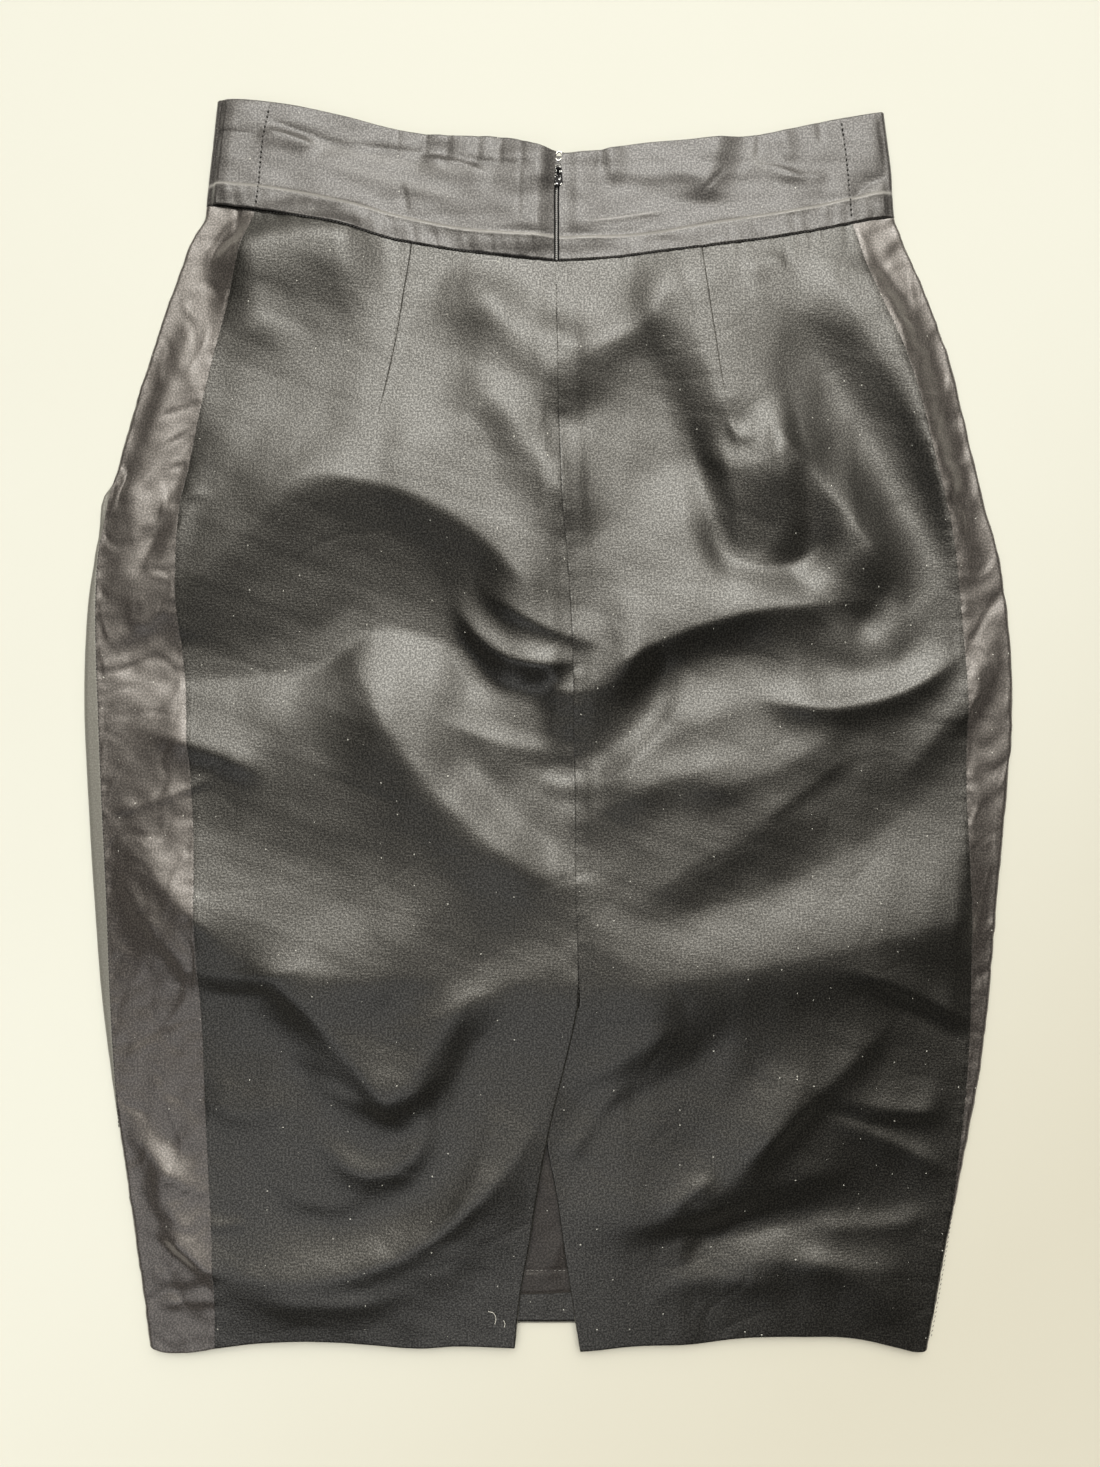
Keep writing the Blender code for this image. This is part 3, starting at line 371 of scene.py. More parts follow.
# Small folds and creases that lie over the others
SMALL_FOLDS = (
    ("smile upper crest", (-38, 72), (-8, 53), (32, 41), 2.2, 9, 5, 1.6),
    ("smile crest", (-51, 70), (-21, 35), (24, 36), 3.8, 9, 7, 1.5),
    ("right thin crest", (138, -118), (182, -133), (235, -165), 2.4, 10, 5, 1.5),
    ("thin right crest", (133, -186), (172, -192), (212, -197), 1.8, 17, 6, 1.6),
    ("thin right ridge", (134, -196), (173, -210), (216, -234), 1.5, 5, 8, 1.6),
    ("low patch crest", (123, -250), (164, -253), (205, -244), 0.9, 8, 6, 1.7),
    ("low patch crest two", (118, -268), (154, -273), (189, -278), 0.9, 7, 7, 1.7),
    ("curl low crest", (-122, -208), (-90, -226), (-55, -190), 2.0, 8, 8, 1.7),
    ("satin left fold", (-220, -54), (-193, -80), (-157, -113), 2.0, 13, 7, 1.7),
    ("satin left seam crease", (-167, 116), (-180, 117), (-198, 100), 1.0, 3, 4, 1.7),
    ("satin left bright wedge", (-175, 120), (-194, 85), (-214, 48), 1.4, 5, 13, 1.7),
    ("satin seam dark", (-175, 162), (-190, 117), (-214, 65), -1.6, 7, 6, 1.7),
    ("satin top left tuck", (-180, 252), (-167, 245), (-151, 256), -1.2, 3, 4, 1.8),
    ("satin top left fold", (-185, 235), (-167, 237), (-149, 252), 1.5, 4, 7, 1.7),
    ("satin left second fold", (-225, -63), (-203, -94), (-170, -134), 1.3, 7, 6, 1.7),
    ("left black lens", (-193, -118), (-155, -125), (-111, -116), 1.0, 5, 8, 1.6),
    ("satin left bright crease", (-231, -46), (-198, -37), (-162, -22), 0.8, 3, 3, 1.8),
    ("satin low left fold", (-231, -190), (-203, -216), (-168, -241), 1.8, 7, 6, 1.7),
    ("satin low left crease", (-208, -249), (-188, -262), (-165, -279), 1.4, 4, 4, 1.7),
    ("seam pucker left one", (-219, -281), (-189, -277), (-162, -276), 0.8, 4, 3, 1.8),
    ("seam pucker left two", (-219, -294), (-189, -291), (-160, -288), 0.8, 4, 3, 1.8),
    ("tongue tip fold", (87, 155), (98, 145), (109, 155), 0.9, 4, 4, 1.8),
    ("fold under band at right", (98, 222), (108, 233), (123, 232), 1.0, 5, 9, 1.8),
    ("curl fold", (128, 65), (165, 44), (182, 80), 0.8, 7, 9, 1.8),
    ("thin fold below streak", (98, -54), (127, -32), (159, -8), 0.9, 12, 5, 1.7),
    ("small black fold", (-63, 8), (-25, -8), (12, -13), 1.0, 5, 11, 1.6),
    ("seam dash fold", (-9, -24), (11, -30), (36, -22), 0.7, 4, 6, 1.8),
    ("satin right crease", (200, -7), (219, 19), (235, 55), 2.2, 8, 6, 1.6),
    ("satin right low crease", (207, -91), (218, -104), (230, -121), 1.0, 5, 4, 1.7),
    ("satin right seam pinch", (197, 117), (209, 110), (223, 108), -1.2, 4, 4, 1.7),
    ("satin right top ridge", (155, 237), (169, 215), (188, 192), 0.8, 7, 8, 1.8),
    ("satin right top wedge", (160, 247), (173, 227), (190, 207), -1.6, 5, 6, 1.7),
    ("satin right turn at the hip", (158, 228), (190, 146), (214, 40), 2.6, 24, 8, 1.8),
    ("v left valley", (-146, -181), (-114, -177), (-82, -198), -0.7, 8, 10, 1.7),
    ("left low crest", (-178, -189), (-153, -193), (-127, -189), 1.6, 14, 9, 1.8),
    ("inside the v", (-134, -158), (-87, -187), (-38, -155), 1.7, 22, 9, 1.8),
    ("lens valley", (-178, -132), (-157, -135), (-132, -130), -0.5, 4, 5, 1.7),
    ("left hem dash", (-174, -251), (-163, -252), (-151, -250), 0.7, 3, 3, 1.8),
    ("arc thin crest", (-117, -279), (-66, -260), (-7, -200), 1.0, 9, 7, 1.7),
    ("arc thin valley", (-127, -290), (-76, -276), (-25, -239), -0.4, 6, 7, 1.7),
    ("soft low crest", (-142, -237), (-117, -242), (-86, -235), 0.8, 9, 8, 1.7),
    ("satin low left valley", (-225, -165), (-202, -200), (-175, -225), -1.1, 7, 8, 1.7),
    ("satin low left dark crest", (-220, -205), (-199, -241), (-172, -280), 1.1, 6, 5, 1.7),
    ("satin low valley", (-204, -252), (-188, -267), (-170, -279), -0.9, 3, 4, 1.7),
    ("satin hem line", (-210, -281), (-193, -281), (-171, -278), 0.8, 3, 3, 1.8),
    ("right thin valley", (167, -134), (188, -146), (220, -167), -0.7, 4, 6, 1.7),
    ("low dash", (58, -246), (71, -235), (85, -225), 1.0, 5, 5, 1.8),
    ("low right soft valley", (6, -206), (47, -185), (98, -149), -1.0, 10, 11, 1.8),
    ("low right soft crest", (6, -185), (31, -171), (72, -144), 1.2, 10, 8, 1.8),
    ("right lens crest", (148, -194), (173, -196), (202, -192), 0.9, 7, 4, 1.7),
    ("low right line valley", (47, -271), (93, -257), (149, -245), -1.0, 6, 5, 1.7),
    ("hem soft crest right", (47, -287), (87, -279), (128, -287), 0.9, 7, 7, 1.8),
    ("hem soft crest left", (-152, -287), (-111, -292), (-66, -285), 0.9, 6, 7, 1.8),
    ("slit side crest left", (-55, -257), (-36, -226), (-25, -185), 1.0, 6, 6, 1.8),
    ("slit side crest right", (6, -231), (21, -200), (47, -175), 1.0, 6, 6, 1.8),
)


def columns(table, names):
    """The table's columns by name, each sorted by the first one."""
    rows = np.array(sorted(table))
    return {name: rows[:, index] for index, name in enumerate(names)}


def smooth(stations, values, at):
    """Cubic curve through the values, whose slope at each station comes from its neighbours."""
    slopes = np.gradient(values, stations)
    low = np.clip(np.searchsorted(stations, at) - 1, 0, len(stations) - 2)
    span = stations[low + 1] - stations[low]
    t = np.clip((at - stations[low]) / span, -0.5, 1.5)
    start = values[low] * (1 + 2 * t) * (1 - t) ** 2 + slopes[low] * span * t * (1 - t) ** 2
    end = values[low + 1] * t**2 * (3 - 2 * t) + slopes[low + 1] * span * t**2 * (t - 1)
    return start + end


def step(t):
    """0 below 0 and 1 above 1, with a level start and end."""
    t = np.clip(t, 0.0, 1.0)
    return t * t * (3 - 2 * t)


def along_table(table, names):
    """A function that reads any of the table's columns at a height."""
    read = columns(table, names)
    return lambda name, at: smooth(read[names[0]], read[name], at)


def edge_line(table):
    """A function that reads a long edge's height at a place across."""
    read = columns(table, EDGE_COLUMNS)
    return lambda across: smooth(read["across"], read["height"], across)


tube = along_table(TUBE, TUBE_COLUMNS)
slit = along_table(SLIT, SLIT_COLUMNS)
loft = along_table(LOFT, LOFT_COLUMNS)
dart = along_table(DARTS, DART_COLUMNS)
band_seam = edge_line(BAND_SEAM)
back_hem = edge_line(BACK_HEM)
front_hem = edge_line(FRONT_HEM)


def fold_height(x, y, start, middle, end, height, left_reach, right_reach, roundness=2):
    """A soft ridge along the parabola through three points: a bell across it, level at both ends."""
    run_x, run_y = end[0] - start[0], end[1] - start[1]
    length = math.hypot(run_x, run_y)

    def along_and_across(at_x, at_y):
        at_x, at_y = at_x - start[0], at_y - start[1]
        return (at_x * run_x + at_y * run_y) / length**2, (at_y * run_x - at_x * run_y) / length

    t, across = along_and_across(x, y)
    middle_t, sag = along_and_across(*middle)
    bow = sag / (middle_t * (1 - middle_t))
    steepness = bow * (1 - 2 * t) / length
    off = (across - bow * t * (1 - t)) / np.sqrt(1 + steepness**2)
    reach = np.where(off > 0, left_reach, right_reach)
    taper = step(t / FOLD_TAPER) * step((1 - t) / FOLD_TAPER)
    return height * taper * np.exp(-(np.abs(off / reach) ** roundness))


def sum_of_folds(table, x, y):
    """The sum of the folds in a table."""
    total = np.zeros(np.shape(x))
    for row in table:
        fold = dict(zip(FOLD_COLUMNS[1:], row[1:]))
        total = total + fold_height(x, y, **fold)
    return total


def waviness(x, y, lengths, seed, waves=14):
    """Uneven cloth, from -1 to 1 or so: a sum of sine waves of mixed lengths, directions and phases."""
    draw = np.random.default_rng(seed)
    total = np.zeros(np.shape(x))
    for _ in range(waves):
        heading, phase = draw.uniform(0, 2 * math.pi, 2)
        number = 2 * math.pi / draw.uniform(*lengths)
        total = total + np.sin(number * (x * math.cos(heading) + y * math.sin(heading)) + phase)
    return total / math.sqrt(waves)


def crumple(x, y, lengths, seed, width):
    """Wandering creases, from 0 to 1: they follow the lines where smooth random waves cross zero."""
    field, fading = waviness(x, y, lengths, seed), waviness(x, y, lengths, seed + 1)
    return np.exp(-((field / width) ** 2)) * step(0.5 + 0.6 * fading)


def plateau(at, low, high, fade):
    """1 from low to high, and 0 further than the fade outside them."""
    return step((np.minimum(at - low, high - at) + fade) / fade)


def least_height(x, y):
    """The lowest that the back can lie: on the front, on the lining's hem, or on the slit's lap."""
    on_lining = plateau(x, LINING_LEFT, LINING_RIGHT, LINING_FADE)
    on_lining = on_lining * plateau(y, back_hem(x), LINING_TOP, LINING_FADE)
    on_lap = plateau(x, SLIT_MIDDLE - SLIT_HALF_WIDTH, SLIT_MIDDLE + SLIT_HALF_WIDTH, SLIT_FADE)
    on_lap = on_lap * plateau(y, FLAPS_PART - SLIT_SPARE, SEAM_END + SLIT_SPARE, LAP_FADE)
    least = LEAST_HEIGHT + (OVER_LINING - LEAST_HEIGHT) * on_lining
    return least + np.maximum(OVER_LINING + LAP_DROP - least, 0) * on_lap


def drape(x, y):
    """Height of the back's outer face: the loft of the empty tube with the folds laid over it."""
    inset = np.minimum(x - tube("left_edge", y), tube("right_edge", y) - x) - EDGE_RADIUS
    folds = sum_of_folds(FOLDS + SMALL_FOLDS, x, y)
    folds = folds + UNEVEN_HEIGHT * waviness(x, y, UNEVEN_LENGTHS, seed=3)
    rise = loft("loft", y) * step(inset / LOFT_REACH) + folds * step(inset / FOLD_FADE)
    height = 2 * EDGE_RADIUS + rise
    least = least_height(x, y)
    return least + FLOOR_SOFTNESS * np.logaddexp(0, (height - least) / FLOOR_SOFTNESS)


def right_flap_drop(x, y):
    """How far the right back panel sinks to pass beneath the left flap."""
    beside = step((LAP_REACH - (x - slit("left_flap", y))) / LAP_BLEND)
    below_seam_end = step((SEAM_END + DROP_START - y) / DROP_RUN)
    above_parting = step((y - FLAPS_PART + LAP_FADE) / DROP_RUN)
    return LAP_DROP * beside * below_seam_end * above_parting


def no_drop(x, y):
    return np.zeros(np.shape(x))


def tube_point(place, y, drop):
    """x and z of the tube's outer face: flat beneath, half a circle at each edge, draped on top."""
    left_turn = tube("left_edge", y) + EDGE_RADIUS
    right_turn = tube("right_edge", y) - EDGE_RADIUS
    past = np.maximum(left_turn - place, place - right_turn)
    on_left = left_turn - place > place - right_turn
    turn = np.where(on_left, left_turn, right_turn)
    outward = np.where(on_left, -1.0, 1.0)
    angle = np.clip(past / EDGE_RADIUS, 0, math.pi)
    beneath = np.maximum(past - math.pi * EDGE_RADIUS, 0)
    x = np.where(past > 0, turn + outward * (EDGE_RADIUS * np.sin(angle) - beneath), place)
    z_top = drape(np.clip(place, left_turn, right_turn), y) - drop(x, y)
    z = np.where(past > 0, EDGE_RADIUS * (1 + np.cos(angle)), z_top)
    return x, z, angle > math.pi / 2


def shares(count, width, middle=()):
    """Shares from 0 to 1 of a width: even, but closer together at both ends and at the middle ones."""
    even = np.linspace(0, 1, count + 1)
    near = np.array(COLUMNS_BY_EDGE) / width
    beside = [share + side * near for share in middle for side in (-1, 1)]
    joined = np.concatenate([even, near, 1 - near, *beside, np.array(middle)])
    joined = np.unique(np.round(joined, 5))
    keep = np.concatenate([[True], np.diff(joined) > CLOSEST_COLUMNS / width])
    keep[-1] = True
    return joined[keep]


def cloth_grid(across, along, place, ends, drop, relief):
    """Points of a cut piece and their places in its cloth.

    A point's height and its place across settle each other. Then the relief, which knows how far the
    point is from each of the piece's four edges, moves it along the face's normal.
    """
    low_end, high_end = ends
    across, along = np.meshgrid(across, along)
    y = 200 * along - 100
    for _ in range(SETTLING_ROUNDS):
        at = place(across, y)
        x, _, under = tube_point(at, y, no_drop)
        low, high = low_end(x, under), high_end(x, under)
        y = low + (high - low) * along
    at = place(across, y)
    x, z, under = tube_point(at, y, drop)
    points = np.stack([x, y, z], axis=-1)
    normal = np.cross(np.gradient(points, axis=1), np.gradient(points, axis=0))
    normal = normal / np.linalg.norm(normal, axis=-1, keepdims=True)
    to_low, to_high = at - place(0 * across, y), place(0 * across + 1, y) - at
    shift = relief(x, y, under, to_low, to_high, y - low, high - y)
    return points + normal * shift[..., None], np.stack([at, y], axis=-1)


def grid_piece(name, points, cloth, material, wall):
    """A piece from a grid of points, with its places in the cloth as a UV map and a wall inwards."""
    rows, width = points.shape[:2]
    number = np.arange(rows * width).reshape(rows, width)
    corners = (number[:-1, :-1], number[:-1, 1:], number[1:, 1:], number[1:, :-1])
    faces = np.stack(corners, axis=-1).reshape(-1, 4)
    piece = new_piece(name, points, faces.tolist(), material)
    piece.data.uv_layers.new(name="cloth")
    places = cloth.reshape(-1, 2)[faces.reshape(-1)] * MM
    piece.data.uv_layers["cloth"].uv.foreach_set("vector", places.reshape(-1).astype(np.float32))
    thick = piece.modifiers.new("cloth wall", "SOLIDIFY")
    thick.thickness = wall * MM
    thick.offset = -1
    return piece


def between(low_side, high_side):
    """Places spread evenly between two seams, each trimmed by half the sewn gap."""

    def place(across, y):
        low, high = low_side(y) + SEWN_GAP / 2, high_side(y) - SEWN_GAP / 2
        return low + (high - low) * across

    return place


def below_band(x, under):
    return band_seam(x) - SEWN_GAP


def hem(x, under):
    return np.where(under, front_hem(x), back_hem(x))


def centre_or_flap(flap):
    """The centre-back seam, and the slit's flap below the seam's end."""
    return lambda y: np.where(y > SEAM_END, tube("centre", y), slit(flap, np.minimum(y, SEAM_END)))


def beside_dart(low_side, high_side, name):
    """Places between two seams, where the share 0.5 follows the dart."""

    def place(across, y):
        low, high = low_side(y) + SEWN_GAP / 2, high_side(y) - SEWN_GAP / 2
        middle = dart(name, y)
        on_low_side = low + (middle - low) * across / 0.5
        return np.where(across < 0.5, on_low_side, middle + (high - middle) * (across - 0.5) / 0.5)

    return place


def ditch(distance, depth, reach=SEAM_REACH):
    """A narrow dip at a seam: a bell across it."""
    return -depth * np.exp(-((distance / reach) ** 2))


def rolled(distance, radius):
    """The rounding of a folded edge: a quarter circle."""
    inside = np.clip(1 - distance / radius, 0, 1)
    return -radius * (1 - np.sqrt(np.clip(1 - inside**2, 0, 1)))


def puckers(along_seam, distance, seed, height, reach, lengths=(5.0, 11.0)):
    """Small uneven ripples that a seam's thread pulls into the cloth beside it."""
    ripples = waviness(along_seam, 0 * along_seam, lengths, seed, waves=6)
    return height * ripples * np.exp(-distance / reach)


def dart_relief(x, y, name, folded_side, depth):
    """A dart: a pressed seam line, with its folded cloth beneath one side of it, down to its point."""
    off = (x - dart(name, y)) * folded_side
    open_part = step((y - DART_POINTS[name]) / 30)
    width = DART_FOLD * step((y - DART_POINTS[name]) / DART_LENGTH) + 0.5
    padded = DART_PADDING * step(off / 0.8) * step((width - off) / 1.4 + 1)
    line = ditch(off, depth, 0.5) + puckers(y, np.abs(off), 41, height=0.08, reach=5)
    return open_part * (padded + line)


def fine_creases(x, y):
    """What lying about leaves in wool: faint creases and an uneven face."""
    inside = step((x - tube("left_back", y)) / 4) * step((tube("right_back", y) - x) / 4)
    uneven = 0.022 * waviness(x, y, (5, 13), seed=61)
    return inside * (uneven - 0.12 * crumple(x, 1.4 * y, (40, 110), seed=64, width=0.12))


def back_relief(dart_name, folded_side, dart_depth, seed):
    """A back panel's relief: its seams, hem and top edge, its flap of the slit, dart and creases.

    The folded side is 1 where the centre back is the piece's high edge, and -1 where it is the low one.
    """

    def relief(x, y, under, to_low, to_high, above_hem, below_seam):
        to_side, to_centre = (to_low, to_high)[::folded_side]
        centre = ditch(to_centre, CENTRE_DITCH)
        centre = centre + puckers(y, to_centre, seed, height=0.17, reach=4.5, lengths=(6, 17))
        centre = centre + ALLOWANCE_RIDGE * np.exp(-(((to_centre - ALLOWANCE_EDGE) / 3) ** 2))
        side = ditch(to_side, SIDE_DITCH)
        side = side + puckers(y, to_side, seed + 1, height=0.13, reach=4, lengths=(6, 15))
        side = side + 0.05 * np.exp(-(((to_side - 2.2) / 1.2) ** 2))
        ends = rolled(above_hem, HEM_ROUNDING) + rolled(below_seam, TOP_ROUNDING)
        ends = ends + puckers(x, below_seam, seed + 2, height=0.12, reach=5)
        sewn = step((y - SEAM_END) / 12)
        seams = sewn * centre + (1 - sewn) * rolled(to_centre, FLAP_ROUNDING) + side + ends
        return seams + dart_relief(x, y, dart_name, folded_side, dart_depth) + fine_creases(x, y)

    return relief


def node_group(name, inputs, outputs):
    """An empty node group with the named sockets. Gives the group and the sockets at both its ends."""
    group = bpy.data.node_groups.new(name, "ShaderNodeTree")
    for way, sockets in (("INPUT", inputs), ("OUTPUT", outputs)):
        for socket, kind in sockets.items():
            group.interface.new_socket(socket, in_out=way, socket_type="NodeSocket" + kind)
    given = group.nodes.new("NodeGroupInput").outputs
    return group, given, group.nodes.new("NodeGroupOutput").inputs


def thread_group():
    """Node group of a woven face: slubs drawn out one way, speckle, and the threads themselves."""
    group, given, taken = node_group(
        "woven face",
        {"Cloth": "Vector", "Slub across": "Float", "Slub along": "Float", "Threads": "Float"},
        {"Height": "Float", "Mottle": "Float", "Speckle": "Float"},
    )
    cloth, threads = given["Cloth"], given["Threads"]
    stretch = add(group, "CombineXYZ", {"X": given["Slub across"], "Y": given["Slub along"]}).outputs[0]
    drawn = vector_maths(group, "MULTIPLY", cloth, stretch)
    slub = noise(group, drawn, 1.0, 2.5, noise_dimensions="2D")
    speckle = noise(group, cloth, 1080.0, 2.0, noise_dimensions="2D")
    broad = noise(group, cloth, 90.0, 3.0, noise_dimensions="2D")
    places = add(group, "SeparateXYZ", {0: cloth}).outputs
    warp = maths(group, "MULTIPLY", places["X"], threads)
    weft = maths(group, "MULTIPLY", places["Y"], threads)
    twill = maths(group, "SINE", maths(group, "ADD", warp, weft))
    rough = maths(group, "MULTIPLY_ADD", slub, 1.1, speckle)
    group.links.new(maths(group, "MULTIPLY_ADD", twill, 0.06, rough), taken["Height"])
    group.links.new(maths(group, "MULTIPLY", maths(group, "ADD", slub, broad), 0.5), taken["Mottle"])
    group.links.new(ranged(group, speckle, 0.0, 1.0, 0.4, 0.7), taken["Speckle"])
    return group


def lint_group():
    """Node group of pale lint: a few small specks, each in a cell of its own."""
    group, given, taken = node_group("lint", {"Cloth": "Vector"}, {"Lint": "Float"})
    cloth = given["Cloth"]
    ragged = add(group, "TexNoise", {"Vector": cloth, "Scale": 1500.0}, noise_dimensions="2D")
    moved = vector_maths(group, "MULTIPLY", ragged.outputs["Color"], (0.0006, 0.0006, 0))
    uneven = vector_maths(group, "ADD", cloth, moved)
    cells = add(group, "TexVoronoi", {"Vector": uneven, "Scale": 120.0}, voronoi_dimensions="2D").outputs
    chance = add(group, "SeparateColor", {0: cells["Color"]}).outputs[0]
    size = ranged(group, chance, 0.0, 0.045, 0.82, 1.0)
    group.links.new(maths(group, "LESS_THAN", cells["Distance"], size), taken["Lint"])
    return group


woven_face = thread_group()
lint = lint_group()
LINT_COLOUR = (0.42, 0.42, 0.39, 1)
TURNED_AWAY = (0.38, 0.95)


def cloth_material(name, dark, light, grain_and_glint_speck, edge, gloss, roughness, slub, threads, grain, constants):
    """Black cloth: near blacks mottled along the slubs, paler specks of weave that are partly painted
    glints, lint, and a broken gloss.

    Where the cloth turns away from the eye it pales towards its edge colour: a painted sheen.
    """
    made, shader, tree = new_material(name, constants)
    cloth = add(tree, "UVMap", uv_map="cloth").outputs["UV"]
    face = add(
        tree,
        "Group",
        {"Cloth": cloth, "Slub across": slub[0], "Slub along": slub[1], "Threads": threads},
        node_tree=woven_face,
    ).outputs
    specks = add(tree, "Group", {"Cloth": cloth}, node_tree=lint).outputs["Lint"]
    mottled = mixed(tree, face["Mottle"], (*dark, 1), (*light, 1))
    # Paler specks: weave grain, and partly painted glints
    woven = mixed(tree, face["Speckle"], mottled, (*grain_and_glint_speck, 1))
    linty = mixed(tree, specks, woven, LINT_COLOUR)
    # Painted sheen: the base colour pales towards the edge colour where the cloth turns away from the eye
    facing = add(tree, "LayerWeight", {"Blend": 0.5}).outputs["Facing"]
    painted_sheen_share = ranged(tree, facing, 0.0, 1.0, *TURNED_AWAY)
    bump = add(tree, "Bump", {"Height": face["Height"], "Distance": grain, "Strength": 1.0})
    tree.links.new(mixed(tree, painted_sheen_share, linty, (*edge, 1)), shader.inputs["Base Color"])
    tree.links.new(ranged(tree, face["Mottle"], *roughness), shader.inputs["Roughness"])
    tree.links.new(ranged(tree, face["Speckle"], *gloss), shader.inputs["Specular IOR Level"])
    tree.links.new(bump.outputs["Normal"], shader.inputs["Normal"])
    return made


def paint_highlight_mask(piece, amount):
    """Gives a piece the mask of where a highlight is painted, one value for each point of its grid."""
    piece.data.attributes.new("painted_highlight", "FLOAT", "POINT")
    piece.data.attributes["painted_highlight"].data.foreach_set("value", amount.reshape(-1).astype(np.float32))


def paint_highlight_where_masked(material, colour):
    """Mixes a paler colour into a cloth's own where its mask says so: a painted highlight."""
    tree, shader = material.node_tree, material.node_tree.nodes["Principled BSDF"]
    amount = add(tree, "Attribute", attribute_name="painted_highlight").outputs["Fac"]
    face = shader.inputs["Base Color"].links[0].from_socket
    tree.links.new(mixed(tree, amount, face, colour), shader.inputs["Base Color"])


WOOL = dict(
    dark=(0.0008, 0.0008, 0.0008),
    light=(0.002, 0.002, 0.0018),
    grain_and_glint_speck=(0.01, 0.0096, 0.008),
    edge=(0.08, 0.079, 0.07),
    gloss=(0.42, 1.0),
    roughness=(0.35, 0.29),
    slub=(330, 1150),
    threads=9000,
    grain=0.00006,
    constants={
        "IOR": 1.61,
        "Specular Tint": (1.0, 0.985, 0.95, 1),
        "Sheen Weight": 0.01,
        "Sheen Roughness": 0.5,
        "Sheen Tint": (0.8, 0.78, 0.7, 1),
    },
)
wool = cloth_material("black wool sateen", **WOOL)

ROWS_AT_ENDS = (0.0001, 0.0006, 0.0012, 0.0022, 0.9978, 0.9988, 0.9994, 0.9999)
ROWS = np.union1d(np.linspace(0, 1, 345), np.array(ROWS_AT_ENDS))
skirt_ends = (hem, below_band)


def seam(name):
    return lambda y: tube(name, y)


def dress(piece, node):
    """The piece moves with the skirt, in place of a CAD node, which is hidden."""
    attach(piece, "skirt")
    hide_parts(node)


back_columns = shares(count=114, width=190.0, middle=(0.5,))
left_places = beside_dart(seam("left_back"), centre_or_flap("left_flap"), "left_dart")
right_places = beside_dart(centre_or_flap("right_flap"), seam("right_back"), "right_dart")
left_relief = back_relief("left_dart", 1, DART_DITCH_LEFT, seed=11)
right_relief = back_relief("right_dart", -1, DART_DITCH_RIGHT, seed=14)
left_grid = cloth_grid(back_columns, ROWS, left_places, skirt_ends, no_drop, left_relief)
right_grid = cloth_grid(back_columns, ROWS, right_places, skirt_ends, right_flap_drop, right_relief)
back_left = grid_piece("back_left_panel", *left_grid, wool, CLOTH_WALL)
back_right = grid_piece("back_right_panel", *right_grid, wool, CLOTH_WALL)
dress(back_left, "back_left")
dress(back_right, "back_right")


# Satin side panels. Each is one piece of heavy black satin that goes round the folded edge of the
# laid skirt, seamed to the wool front and back. The skirt has turned a little, so the left one shows.


def side_width(y):
    return tube("left_back", y) - tube("left_front", y)


def right_front(y):
    return tube("right_back", y) + side_width(y)


def by_stretch(across, bounds, inner_shares):
    """Maps 0 to 1 onto four bounds in a row, with the two inner ones at the given shares."""
    first, second = inner_shares
    a, b, c, d = bounds
    low_part = a + (b - a) * across / first
    middle_part = b + (c - b) * (across - first) / (second - first)
    high_part = c + (d - c) * (across - second) / (1 - second)
    return np.where(across < first, low_part, np.where(across > second, high_part, middle_part))


def round_left_edge(across, y):
    """The left side panel: its columns beneath, round the fold, and on top."""
    high = tube("left_back", y) - SEWN_GAP / 2
    low = tube("left_front", y) + SEWN_GAP / 2
    turn = tube("left_edge", y) + EDGE_RADIUS
    fold_start = np.clip(turn, low + 6, high - 6)
    fold_end = np.clip(turn - math.pi * EDGE_RADIUS, low + 2, fold_start - 3)
    return by_stretch(across, (low, fold_end, fold_start, high), (0.12, 0.4))


def round_right_edge(across, y):
    """The right side panel, as the left one but from its back seam outwards."""
    low = tube("right_back", y) + SEWN_GAP / 2
    high = right_front(y) - SEWN_GAP / 2
    turn = tube("right_edge", y) - EDGE_RADIUS
    fold_start = np.clip(turn, low + 2, high - 8)
    fold_end = np.clip(turn + math.pi * EDGE_RADIUS, fold_start + 3, high - 3)
    return by_stretch(across, (low, fold_start, fold_end, high), (0.5, 0.8))


def side_relief(x, y, under, to_low, to_high, above_hem, below_seam):
    """Seams at both sides, a rolled hem, the seam below the waistband, and the satin's sharp creases."""
    nearer = np.minimum(to_low, to_high)
    sides = ditch(nearer, SIDE_DITCH) + puckers(y, nearer, 22, height=0.15, reach=4)
    ends = rolled(above_hem, HEM_ROUNDING) + rolled(below_seam, TOP_ROUNDING)
    ends = ends + puckers(x, below_seam, 21, height=0.12, reach=5)
    creases = 0.14 * waviness(x, y, (8, 20), seed=24)
    creases = creases - 0.42 * crumple(x, y, (22, 60), seed=25, width=0.24)
    creases = creases + 0.3 * crumple(x, 0.6 * y, (14, 40), seed=27, width=0.3)
    return sides + ends + creases * ~under * step(nearer / 3)


satin = cloth_material(
    "black satin",
    dark=(0.008, 0.0069, 0.0065),
    light=(0.018, 0.0155, 0.0146),
    grain_and_glint_speck=(0.052, 0.0455, 0.042),
    edge=(0.14, 0.131, 0.122),
    gloss=(0.6, 1.0),
    roughness=(0.38, 0.27),
    slub=(1100, 500),
    threads=12000,
    grain=0.00004,
    constants={
        "IOR": 1.74,
        "Specular Tint": (1.0, 0.95, 0.92, 1),
        "Sheen Weight": 0.06,
        "Sheen Roughness": 0.45,
        "Sheen Tint": (0.85, 0.76, 0.72, 1),
    },
)
side_columns = shares(count=44, width=44.0)
left_grid = cloth_grid(side_columns, ROWS, round_left_edge, skirt_ends, no_drop, side_relief)
right_grid = cloth_grid(side_columns, ROWS, round_right_edge, skirt_ends, no_drop, side_relief)
side_left = grid_piece("side_left_panel", *left_grid, satin, CLOTH_WALL)
side_right = grid_piece("side_right_panel", *right_grid, satin, CLOTH_WALL)
dress(side_left, "side_left")
dress(side_right, "side_right")


# Front panel. One panel of wool sateen beneath, flat on the surface. It comes round the left fold as
# a narrow strip, where the mouth of a side pocket gapes.

